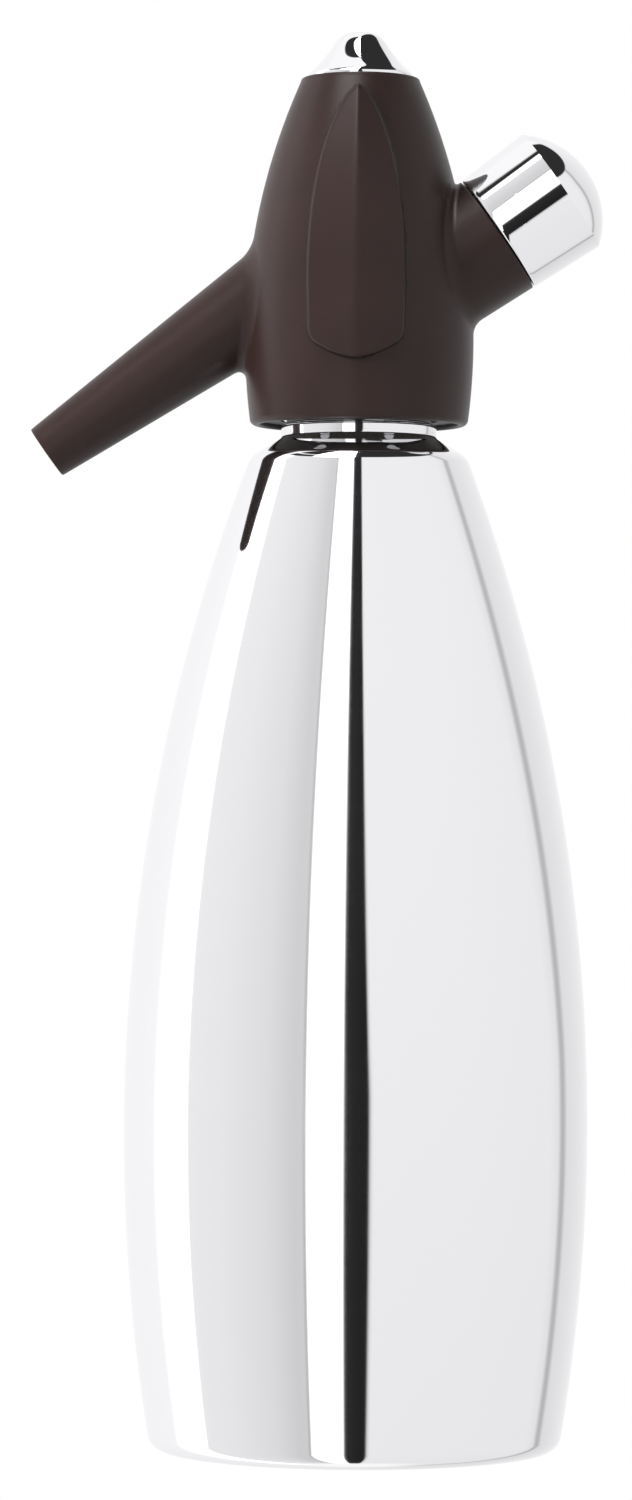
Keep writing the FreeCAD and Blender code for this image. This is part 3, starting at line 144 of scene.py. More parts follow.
class SiphonColours(PropertyGroup):
    """The finishes' main colours."""

    steel: tint("Steel", "Polished bottle", (0.86, 0.86, 0.865))
    chrome: tint("Chrome", "Button and cap", (0.86, 0.86, 0.865))
    plastic: tint("Plastic", "Head moulding", (0.0165, 0.0085, 0.0075))


def sizes(context):
    """The bottle's and the head's sizes in the scene."""
    return context.scene.siphon_bottle, context.scene.siphon_head


# Surfaces


class Shape:
    """Gathers grids of points into one mesh, each grid a function of two parameters."""

    def __init__(self):
        self.points = []
        self.faces = []
        self.count = 0

    def add(self, grid, wrap_rows=False, wrap_columns=True):
        """Adds a grid of rows and columns of points. A wrapped side joins its last to its first.

        A closed grid whose signed volume is negative is turned to face outwards.
        """
        rows, columns, _ = grid.shape
        index = np.arange(rows * columns).reshape(rows, columns)
        if wrap_rows:
            index = np.vstack([index, index[:1]])
        if wrap_columns:
            index = np.hstack([index, index[:, :1]])
        corners = [index[:-1, :-1], index[:-1, 1:], index[1:, 1:], index[1:, :-1]]
        quads = np.stack(corners, axis=-1).reshape(-1, 4)
        flat = grid.reshape(-1, 3)
        a, b, c, d = (flat[quads[:, k]] for k in range(4))
        volume = np.sum(np.cross(a, b) * c) + np.sum(np.cross(a, c) * d)
        if volume < 0:
            quads = quads[:, ::-1]
        self.points.append(flat)
        self.faces.append(quads + self.count)
        self.count += len(flat)
        return self

    def mesh(self, name, crisp=40):
        """Makes the mesh, with doubled points merged and edges sharper than crisp degrees kept."""
        doubled = 0.0002 * MM
        too_short = 0.00001 * MM
        mesh = bpy.data.meshes.new(name)
        mesh.from_pydata(np.vstack(self.points).tolist(), [], np.vstack(self.faces).tolist())
        work = bmesh.new()
        work.from_mesh(mesh)
        bmesh.ops.remove_doubles(work, verts=work.verts, dist=doubled)
        bmesh.ops.dissolve_degenerate(work, edges=work.edges, dist=too_short)
        for face in work.faces:
            face.smooth = True
        work.to_mesh(mesh)
        work.free()
        mesh.set_sharp_from_angle(angle=math.radians(crisp))
        return mesh

    def piece(self, name, body, slot, stands_for=(), crisp=40, finish=None):
        """Makes the mesh and the finished piece."""
        dress(new_object(name, self.mesh(name, crisp)), body, slot, stands_for, finish)


def new_object(name, data):
    """Puts a mesh, a camera or a lamp into the scene as an object."""
    thing = bpy.data.objects.new(name, data)
    bpy.context.scene.collection.objects.link(thing)
    return thing


def dress(piece, body, slot, stands_for, finish=None):
    """Gives a piece its body and its finish, which is the slot's own unless another is named, and
    hides the nodes that it stands for."""
    piece.data.materials.append(FINISHES[finish or slot])
    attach(piece, body)
    if stands_for:
        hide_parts(*stands_for)


def coords(*values):
    """Points from their coordinates, one array of values for each axis."""
    return np.stack(values, axis=-1)


def arc(centre, radius, start, end, count):
    """Points on an arc: centre + radius (cos a, sin a), with a from start to end in degrees."""
    angles = np.radians(np.linspace(start, end, count))
    return coords(centre[0] + radius * np.cos(angles), centre[1] + radius * np.sin(angles))


def eased(count):
    """Steps from 0 to 1 that lie closer together at both ends: (1 - cos(pi t)) / 2."""
    return (1 - np.cos(np.pi * np.linspace(0, 1, count))) / 2


def bevelled(corners, count=5):
    """A closed polygon of (radius, height, corner radius) with each corner rounded.

    A corner of radius q starts q tan(half the turn) before its point, and the arc between
    is a rational quadratic curve whose middle weight is the sine of half the inner angle.
    """
    longest_share = 0.45
    nothing = 1e-9
    spots = np.array([c[:2] for c in corners], float)
    path = []
    for index, corner in enumerate(corners):
        here = spots[index]
        back = spots[index - 1] - here
        ahead = spots[(index + 1) % len(spots)] - here
        back_length, ahead_length = np.linalg.norm(back), np.linalg.norm(ahead)
        if corner[2] <= 0 or min(back_length, ahead_length) < nothing:
            path.append(here[None])
            continue
        cosine = np.clip(back @ ahead / back_length / ahead_length, -1, 1)
        half = math.acos(cosine) / 2
        room = longest_share * min(back_length, ahead_length)
        reach = min(corner[2] / math.tan(half), room)
        start = here + back / back_length * reach
        end = here + ahead / ahead_length * reach
        weight = math.sin(half)
        t = np.linspace(0, 1, count)[:, None]
        top = start * (1 - t) ** 2 + here * 2 * weight * t * (1 - t) + end * t**2
        path.append(top / ((1 - t) ** 2 + 2 * weight * t * (1 - t) + t**2))
    return np.vstack(path)


def filled(path, step, closed=True):
    """The same path with points added so that no stretch is longer than step."""
    following = np.roll(path, -1, axis=0)
    if not closed:
        following = following[:-1]
    pieces = []
    for start, end in zip(path, following):
        parts = max(1, math.ceil(np.linalg.norm(end - start) / step))
        t = np.arange(parts)[:, None] / parts
        pieces.append(start + (end - start) * t)
    if not closed:
        pieces.append(path[-1:])
    return np.vstack(pieces)


def turned(path, around, lean=None):
    """A profile carried round an axis: (r cos a, r sin a, h), then leaned by a matrix."""
    angles = np.arange(around) * 2 * np.pi / around
    radius, height = path[:, :1], path[:, 1:]
    grid = coords(radius * np.cos(angles), radius * np.sin(angles), height + 0 * angles)
    return grid if lean is None else leaned(grid, lean)


def leaned(grid, lean):
    """The points turned and moved by a matrix."""
    matrix = np.array(lean)
    return grid @ matrix[:3, :3].T + matrix[:3, 3]


def line_frame(head, height):
    """The matrix whose Z runs out along the charger line from where it meets the head's axis."""
    return Matrix.Translation((0, 0, height)) @ Matrix.Rotation(math.pi / 2 - head.slope, 4, "Y")


def spout_frame(head):
    """The matrix whose Z runs from the spout's tip in towards the head."""
    length = head.spout_reach / math.cos(head.slope)
    tip = (-head.spout_reach, 0, head.spout_height - length * math.sin(head.slope))
    return Matrix.Translation(tip) @ Matrix.Rotation(math.pi / 2 - head.slope, 4, "Y")


def bell_radius(head, height, inset=0.0):
    """The bell's radius at a height: the side is one arc about a centre beyond the axis."""
    centre = head.radius - head.flank
    return centre + np.sqrt((head.flank - inset) ** 2 - (height - head.belly) ** 2)


# Shader maths


def maths(operation, reflected=False):
    """A method that adds one Math node, fed with the wire and the other value in that order, or
    in the other order where it is reflected."""

    def method(wire, other):
        values = [other, wire] if reflected else [wire, other]
        node = wire.nodes.node("ShaderNodeMath", {"operation": operation}, values)
        return Wire(wire.nodes, node.outputs[0])

    return method


class Wire:
    """A socket that can be used in arithmetic: each operation adds one Math node."""

    def __init__(self, nodes, socket):
        self.nodes = nodes
        self.socket = socket

    __add__ = maths("ADD")
    __radd__ = maths("ADD", reflected=True)
    __sub__ = maths("SUBTRACT")
    __rsub__ = maths("SUBTRACT", reflected=True)
    __mul__ = maths("MULTIPLY")
    __rmul__ = maths("MULTIPLY", reflected=True)
    __truediv__ = maths("DIVIDE")
    __rtruediv__ = maths("DIVIDE", reflected=True)
    at_least = maths("MAXIMUM")
    at_most = maths("MINIMUM")

    # The angle in radians whose tangent is this value over the other, all the way round
    turn_from = maths("ARCTAN2")


class Nodes:
    """Adds nodes to a tree, each from its type, its settings and the values of its sockets."""

    def __init__(self, tree):
        self.tree = tree

    def node(self, kind, settings=None, values=()):
        """Adds a node, sets its settings first and then its sockets, by order or by name."""
        node = self.tree.nodes.new(kind)
        for label, value in (settings or {}).items():
            if label == "stops":
                for element, (place, colour) in zip(node.color_ramp.elements, value[:2]):
                    element.position, element.color = place, colour
                for place, colour in value[2:]:
                    node.color_ramp.elements.new(place).color = colour
            else:
                setattr(node, label, value)
        pairs = values.items() if isinstance(values, dict) else enumerate(values)
        for key, value in pairs:
            self.feed(node.inputs[key], value)
        return node

    def feed(self, socket, value):
        if isinstance(value, Wire):
            self.tree.links.new(value.socket, socket)
        elif value is not None:
            socket.default_value = value

    def out(self, node, key=0):
        return Wire(self, node.outputs[key])

    def place(self):
        return self.out(self.node("ShaderNodeTexCoord"), "Object")

    def stretched(self, scale):
        values = {"Vector": self.place(), "Scale": scale}
        return self.out(self.node("ShaderNodeMapping", None, values))

    def noise(self, scale, detail=3.0, roughness=0.55, vector=None):
        values = {"Scale": scale, "Detail": detail, "Roughness": roughness}
        values["Vector"] = vector or self.place()
        return self.out(self.node("ShaderNodeTexNoise", None, values), "Fac")

    def blend(self, share, first, second):
        """A colour between two others, by a share from 0 to 1. The node's colours are its
        inputs 6 and 7 and its output 2."""
        values = {"Factor": share, 6: first, 7: second}
        return self.out(self.node("ShaderNodeMix", {"data_type": "RGBA"}, values), 2)

    def vary(self, wire, low, high, from_low=0.3, from_high=0.7):
        """A wire's range moved to another range, held at its ends."""
        values = [wire, from_low, from_high, low, high]
        return self.out(self.node("ShaderNodeMapRange", {"clamp": True}, values))

    def bump(self, height, distance, strength):
        values = {"Height": height, "Distance": distance, "Strength": strength}
        return self.out(self.node("ShaderNodeBump", None, values), "Normal")


class Finish(Nodes):
    """A material in the making: its nodes feed the Principled shader."""

    def __init__(self, name, colour, roughness, metallic=0.0, specular=0.5):
        self.material = bpy.data.materials.new(name)
        self.material.use_nodes = True
        super().__init__(self.material.node_tree)
        self.shader = self.tree.nodes["Principled BSDF"]
        self.set(Base_Color=(*colour, 1), Roughness=roughness, Metallic=metallic)
        self.set(Specular_IOR_Level=specular)

    def set(self, **inputs):
        """Feeds the shader's sockets, named with underscores for spaces, and gives the material."""
        for label, value in inputs.items():
            self.feed(self.shader.inputs[label.replace("_", " ")], value)
        return self.material

    def mottle(self, colour, shades, cloud, roughness, relief, depth):
        """Mottles the colour and the roughness with a cloud and raises a relief by depth in mm."""
        tones = [rgba(colour, shade) for shade in shades]
        base = self.blend(self.vary(cloud, 0.0, 1.0), *tones)
        bump = self.bump(relief, distance=depth * MM, strength=0.3)
        return self.set(Base_Color=base, Roughness=self.vary(cloud, *roughness), Normal=bump)


def rgba(colour, factor):
    """A colour made lighter or darker, with its alpha."""
    return tuple(min(1.0, c * factor) for c in colour) + (1.0,)


def grey(level):
    """An even grey with its alpha."""
    return (level, level, level, 1.0)


def polished_steel(colour):
    """Mirror-polished sheet: the faint rings of the polishing wheel and a few wiped smears."""
    finish = Finish("polished_steel", colour, 0.045, metallic=1.0)
    rings = finish.noise(900, detail=2, roughness=0.6, vector=finish.stretched((0.02, 0.02, 1.0)))
    smear = finish.noise(26, detail=4, roughness=0.6)
    roughness = finish.vary(smear, 0.028, 0.055) + finish.vary(rings, 0.0, 0.012)
    bump = finish.bump(rings, distance=0.0015 * MM, strength=0.35)
    return finish.set(Roughness=roughness, Normal=bump)


def chrome_plate(colour):
    """Bright plate with a trace of orange peel and light handling marks."""
    finish = Finish("chrome_plate", colour, 0.035, metallic=1.0)
    marks = finish.noise(60, detail=5, roughness=0.65)
    peel = finish.noise(700, detail=2)
    bump = finish.bump(peel, distance=0.002 * MM, strength=0.3)
    return finish.set(Roughness=finish.vary(marks, 0.02, 0.05), Normal=bump)


def grained_plastic(colour):
    """Matt moulded plastic: a fine spark-eroded grain, softly mottled, glossier in places."""
    finish = Finish("grained_plastic", colour, 0.44, specular=0.22)
    grain = finish.noise(2600, detail=3, roughness=0.6)
    cloud = finish.noise(55, detail=4)
    flow = finish.noise(14, detail=2)
    tone = finish.vary(cloud, 0.0, 1.0, from_low=0.25, from_high=0.75)
    base = finish.blend(tone, rgba(colour, 0.88), rgba(colour, 1.14))
    roughness = finish.vary(flow, 0.33, 0.41) + finish.vary(grain, -0.03, 0.05)
    bump = finish.bump(grain, distance=0.03 * MM, strength=0.35)
    return finish.set(Base_Color=base, Roughness=roughness, Normal=bump)


def shadow_line():
    """A painted shadow line round a grip: a near-black finish standing in for the shade of the
    parting groove.
    """
    finish = Finish("painted_grip_shadow", (0.006, 0.004, 0.004), 0.7)
    return finish.set(Roughness=finish.vary(finish.noise(300), 0.6, 0.8))


def machined_metal(name, colour, roughness):
    """Turned metal: fine tool rings across the axis and slight tarnish."""
    finish = Finish(name, colour, roughness, metallic=1.0)
    rings = finish.noise(1400, detail=2, roughness=0.6, vector=finish.stretched((0.05, 0.05, 1.0)))
    tarnish = finish.noise(90, detail=4)
    rough = roughness * 0.8, roughness * 1.25
    return finish.mottle(colour, (0.86, 1.05), tarnish, rough, rings, 0.01)


def moulded_plastic(name, colour, roughness):
    """Plain moulded plastic with faint flow marks and fine grain."""
    finish = Finish(name, colour, roughness)
    grain = finish.noise(1800, detail=2)
    rough = roughness * 0.85, roughness * 1.15
    return finish.mottle(colour, (0.9, 1.08), finish.noise(70), rough, grain, 0.01)


def silicone(name, colour):
    """Soft seal rubber with a dusty bloom."""
    finish = Finish(name, colour, 0.6)
    bloom = finish.noise(160, detail=4, roughness=0.6)
    return finish.mottle(colour, (1.0, 1.4), bloom, (0.5, 0.75), bloom, 0.02)


def make_finishes(context):
    """Each finish by its name: the record's material slots and two more, both painted shade: the
    strips round the grips and the thread ring at the neck.
    """
    colours = context.scene.siphon_colours
    return {
        "steel": polished_steel(colours.steel),
        "chromed": chrome_plate(colours.chrome),
        "head_plastic": grained_plastic(colours.plastic),
        # Painted shadow: near-black strips round the grips in place of a shaded groove
        "gap": shadow_line(),
        # Painted shade: the head's thread ring turns near-black to darken the neck under the head
        "neck_shade_ring": machined_metal("painted_neck_shade", (0.05, 0.045, 0.042), 0.5),
        "plain_steel": machined_metal("drawn_steel", (0.58, 0.58, 0.59), 0.28),
        "light_alloy": machined_metal("light_alloy", (0.70, 0.70, 0.71), 0.36),
        "brass": machined_metal("turned_brass", (0.80, 0.60, 0.30), 0.25),
        "dark_plastic": moulded_plastic("black_plastic", (0.018, 0.017, 0.017), 0.4),
        "pale_plastic": moulded_plastic("natural_plastic", (0.72, 0.71, 0.67), 0.45),
        "seal": silicone("seal_silicone", (0.30, 0.07, 0.05)),
    }


FINISHES = {}


class SIPHON_OT_bottle(Operator):
    """Makes the polished bottle and its threaded neck"""

    bl_idname = "siphon.bottle"
    bl_label = "Bottle"

    def execute(self, context):
        bottle, _ = sizes(context)
        outside = self.side(bottle, 0.0)
        inside = self.side(bottle, bottle.wall)[::-1]
        inner_edge = outside[0, 0] - bottle.ring
        longest = 2.2 * MM
        path = np.vstack([[inner_edge, 0.0], outside, inside, [inner_edge, bottle.wall]])
        shell = Shape().add(turned(filled(path, longest), bottle.around), wrap_rows=True)
        shell.piece("bottle_body", "bottle", "steel", ["bottle_shell"], crisp=25)
        self.neck(bottle)
        return {"FINISHED"}

    def side(self, bottle, inset):
        """The side as tangent arcs: the foot corner, the long flank, the shoulder corner, a
        straight shoulder and the hollow fillet into the neck. An inset keeps every centre."""
        centre = bottle.radius - bottle.flank

        def corner_centre(radius, height):
            """How far out a corner's circle lies that touches the flank's arc from inside."""
            return centre + math.sqrt((bottle.flank - radius) ** 2 - (height - bottle.belly) ** 2)

        foot_z = bottle.foot
        foot_x = corner_centre(bottle.foot, foot_z)
        top_z = bottle.shoulder_height
        top_x = corner_centre(bottle.shoulder, top_z)
        low = math.degrees(math.atan2(foot_z - bottle.belly, foot_x - centre))
        high = math.degrees(math.atan2(top_z - bottle.belly, top_x - centre))
        facing = 90 - math.degrees(bottle.slope)
        fillet_x = bottle.neck + bottle.fillet
        start_x = top_x + bottle.shoulder * math.sin(bottle.slope)
        start_z = top_z + bottle.shoulder * math.cos(bottle.slope)
        end_x = fillet_x - bottle.fillet * math.sin(bottle.slope)
        end_z = start_z + (start_x - end_x) * math.tan(bottle.slope)
        neck_z = end_z + bottle.fillet * math.cos(bottle.slope)
        turn = np.radians(low + (high - low) * eased(110))
        flank = bottle.flank - inset
        side = coords(centre + flank * np.cos(turn), bottle.belly + flank * np.sin(turn))
        stretches = [
            arc((foot_x, foot_z), bottle.foot - inset, -90, low, 14)[:-1],
            side,
            arc((top_x, top_z), bottle.shoulder - inset, high, facing, 16)[1:],
            arc((fillet_x, neck_z), bottle.fillet + inset, 180 + facing, 180, 8),
            [[fillet_x - bottle.fillet - inset, neck_z + bottle.collar]],
        ]
        return np.vstack(stretches)

    def neck(self, bottle):
        """The neck ring: its radius is the core plus a ridge of crest - flank |phase - 1/2|, held
        from 0 to 1, where phase is the fraction of height / pitch - angle / full turn. The ridge
        fades in and out at the thread's ends."""
        low, high = height_of("neck_ring")
        bore = 14.5 * MM
        play = 0.03 * MM
        insert_depth = 4 * MM
        thread_length = 6 * MM
        run_out = 0.8 * MM
        fade_length = 0.5 * MM
        around = 224
        insert = bottle.neck - bottle.wall - play
        collar = low + insert_depth
        thread_top = high - run_out
        thread_low = thread_top - thread_length
        shank = thread_low - bottle.pitch / 2
        core = bottle.neck - bottle.thread
        corners = [
            (bore, low, 0.2 * MM),
            (insert, low, 0.2 * MM),
            (insert, collar, 0),
            (bottle.neck, collar, 0),
            (bottle.neck, shank, 0.2 * MM),
            (core, shank + bottle.thread / 2, 0.1 * MM),
            (core, high, 0.35 * MM),
            (bore, high, 0.35 * MM),
        ]
        path = filled(bevelled(corners), 0.16 * MM)
        grid = turned(path, around)
        angle = np.arange(around) * 2 * np.pi / around
        radius = np.hypot(grid[..., 0], grid[..., 1])
        height = grid[..., 2]
        phase = np.mod((height - thread_low) / bottle.pitch - angle / (2 * np.pi), 1.0)
        crest, flank = 1.6, 5.2
        ridge = np.clip(crest - np.abs(phase - 0.5) * flank, 0, 1)
        fade = np.clip((height - thread_low) / fade_length, 0, 1)
        fade = fade * np.clip((thread_top - height) / fade_length, 0, 1)
        margin = 0.05 * MM
        outer = (radius > core - margin) & (height > shank + bottle.thread * 0.6)
        lifted = radius + outer * ridge * fade * (bottle.thread - margin)
        grid[..., :2] *= (lifted / radius)[..., None]
        ring = Shape().add(grid, wrap_rows=True)
        ring.piece("neck_thread", "bottle", "steel", ["neck_ring"], crisp=30)


class SIPHON_OT_head(Operator):
    """Makes the head moulding: the bell with its spout and its charger boss"""

    bl_idname = "siphon.head"
    bl_label = "Head"

    def execute(self, context):
        _, head = sizes(context)
        blank = Shape().add(turned(self.section(head), 200), wrap_rows=True)
        bell = new_object("bell_blank", blank.mesh("bell"))
        bore = Shape().add(self.boss_cutter(head)).mesh("cutter")
        drilled = self.drilled(bell, bore)
        spout = Shape().add(self.spout(head), wrap_rows=True).mesh("spout", 50)
        boss = Shape().add(self.boss(head), wrap_rows=True).mesh("boss", 50)
        whole = bmesh.new()
        for mesh in (drilled, spout, boss):
            whole.from_mesh(mesh)
        mesh = bpy.data.meshes.new("head_moulding")
        whole.to_mesh(mesh)
        whole.free()
        dress(new_object("head_moulding", mesh), "head", "head_plastic", ["head_shell"])
        return {"FINISHED"}

    def section(self, head):
        """The bell's wall: the side's arc outside, and inside the bore for the valve body, the
        ledge that it seats on, the hollow above and the button's bore."""
        ledge = 262.3 * MM
        ledge_top = 266 * MM
        ledge_bore = 20.5 * MM
        roof = 303.4 * MM
        bore = 22.55 * MM
        button = 12.12 * MM
        low_round, top_round = 1.5 * MM, 0.8 * MM
        bore_round, button_round = 0.5 * MM, 0.3 * MM
        low_slope, top_slope = -8, 18
        start, end = head.low + low_round, head.high - top_round
        heights = start + (end - start) * eased(120)
        side = coords(bell_radius(head, heights), heights)
        inner = np.linspace(roof, ledge_top, 24)
        hollow = coords(bell_radius(head, inner, head.wall), inner)
        corners = [
            arc((bore + bore_round, head.low + bore_round), bore_round, 180, 270, 5),
            arc((side[0, 0] - low_round, start), low_round, -90, low_slope, 8),
            side,
            arc((side[-1, 0] - top_round, end), top_round, top_slope, 90, 7),
            arc((button + button_round, head.high - button_round), button_round, 90, 180, 5),
            [[button, roof]],
            hollow,
            [[ledge_bore, ledge_top], [ledge_bore, ledge], [bore, ledge]],
        ]
        return filled(np.vstack(corners), 1.2 * MM)

    def boss_cutter(self, head):
        """A plain cylinder along the charger line, for the socket's way through the bell."""
        start, end = 13 * MM, 60 * MM
        path = [(0, start), (SOCKET_BORE, start), (SOCKET_BORE, end), (0, end)]
        return turned(np.array(path), 96, line_frame(head, head.boss_height))

    def drilled(self, bell, bore):
        """The bell's mesh less the bore's, as one closed mesh."""
        cutter = new_object("bore_cutter", bore)
        cut = bell.modifiers.new("bore", "BOOLEAN")
        cut.operation = "DIFFERENCE"
        cut.object = cutter
        cut.solver = "EXACT"
        graph = bpy.context.evaluated_depsgraph_get()
        mesh = bpy.data.meshes.new_from_object(bell.evaluated_get(graph))
        for scrap in (bell, cutter):
            bpy.data.objects.remove(scrap)
        return mesh

    def horn(self, head, lean, inward, reach, bore_depth, around, fillet, radius_at, bore_at):
        """A round arm that grows out of the bell, closed through its bore.

        Its skin is start + inward t + r(t) (cos a, sin a). Where the skin meets the bell is found
        by halving an interval for every angle at once. From a little before that line the skin
        follows a cubic curve that ends on the bell, lying along it, so that the two blend.
        """
        angle = np.arange(around) * 2 * np.pi / around
        matrix = np.array(lean)
        ring = coords(np.cos(angle), np.sin(angle), 0 * angle) @ matrix[:3, :3].T
        axis = matrix[:3, 2] * inward
        start = matrix[:3, 3]

        def skin(t, radius=None):
            """The ring at t, with its own radius or a given one."""
            spread = radius_at(t) if radius is None else radius
            return start + axis * t[:, None] + ring * np.broadcast_to(spread, t.shape)[:, None]

        halvings = 48
        near = np.zeros(around)
        far = np.full(around, reach)
        for _ in range(halvings):
            middle = (near + far) / 2
            spot = skin(middle)
            outside = np.hypot(spot[:, 0], spot[:, 1]) > bell_radius(head, spot[:, 2])
            near = np.where(outside, middle, near)
            far = np.where(outside, far, middle)
        meet = skin(near)
        across = np.hypot(meet[:, 0], meet[:, 1])
        lever = bell_radius(head, meet[:, 2]) + head.flank - head.radius
        slope = (head.belly - meet[:, 2]) / lever
        normal = coords(meet[:, 0] / across, meet[:, 1] / across, -slope)
        normal /= np.linalg.norm(normal, axis=1)[:, None]
        away = ring - normal * np.sum(ring * normal, axis=1)[:, None]
        away /= np.linalg.norm(away, axis=1)[:, None]
        longest_share, pull = 0.72, 0.56
        size = np.minimum(fillet, near * longest_share)
        first = skin(near - size)
        landing = meet + away * size[:, None]
        spread = bell_radius(head, landing[:, 2]) / np.hypot(landing[:, 0], landing[:, 1])
        last = landing * coords(spread, spread, np.ones(around))
        one = first + (meet - first) * pull
        two = last + (meet - last) * pull

        def blend(s):
            """The cubic curve from first to last that one and two pull out."""
            left = 1 - s
            return first * left**3 + one * 3 * s * left**2 + two * 3 * s**2 * left + last * s**3

        edge = 0.35 * MM
        mouth = bore_at(0.0)
        rim = radius_at(0.0) - edge
        face = [skin(0 * near, mouth + (rim - mouth) * s) for s in np.linspace(0, 1, 4)[:-1]]
        rows = [
            skin(0 * near + edge * (1 - math.cos(turn)), rim + edge * math.sin(turn))
            for turn in np.linspace(0, math.pi / 2, 5)
        ]
        trunk = [skin(edge + (near - size - edge) * s) for s in np.linspace(0, 1, 44)[1:]]
        root = [blend(s) for s in np.linspace(0, 1, 15)[1:]]
        sink, overlap, clearance = 0.6 * MM, 0.5 * MM, 0.4 * MM
        sunk = last - normal * sink
        hidden = skin(near + overlap, mouth + clearance)
        depths = bore_depth * np.linspace(1, 0, 6)[:-1]
        inner = [skin(depth + 0 * near, bore_at(depth)) for depth in depths]
        return np.stack(face + rows + trunk + root + [sunk, hidden] + inner)

    def spout(self, head):
        """The spout grows towards the bell: r(t) = tip + t tan(flare)."""
        taper = math.tan(head.spout_flare)
        wall = 2.2 * MM
        return self.horn(
            head, spout_frame(head), inward=1, reach=84 * MM, bore_depth=40 * MM, around=128,
            fillet=head.spout_fillet, radius_at=lambda t: head.spout_tip + taper * t,
            bore_at=lambda t: head.spout_tip - wall + taper * t,
        )

    def boss(self, head):
        """The charger boss narrows towards the bell: r(t) = face - t tan(flare)."""
        taper = math.tan(head.boss_flare)
        face = line_frame(head, head.boss_height) @ Matrix.Translation((0, 0, head.boss_face))
        return self.horn(
            head, face, inward=-1, reach=30 * MM, bore_depth=20 * MM, around=160,
            fillet=head.boss_fillet, radius_at=lambda t: head.boss_radius - taper * t,
            bore_at=lambda t: SOCKET_BORE + 0 * t,
        )


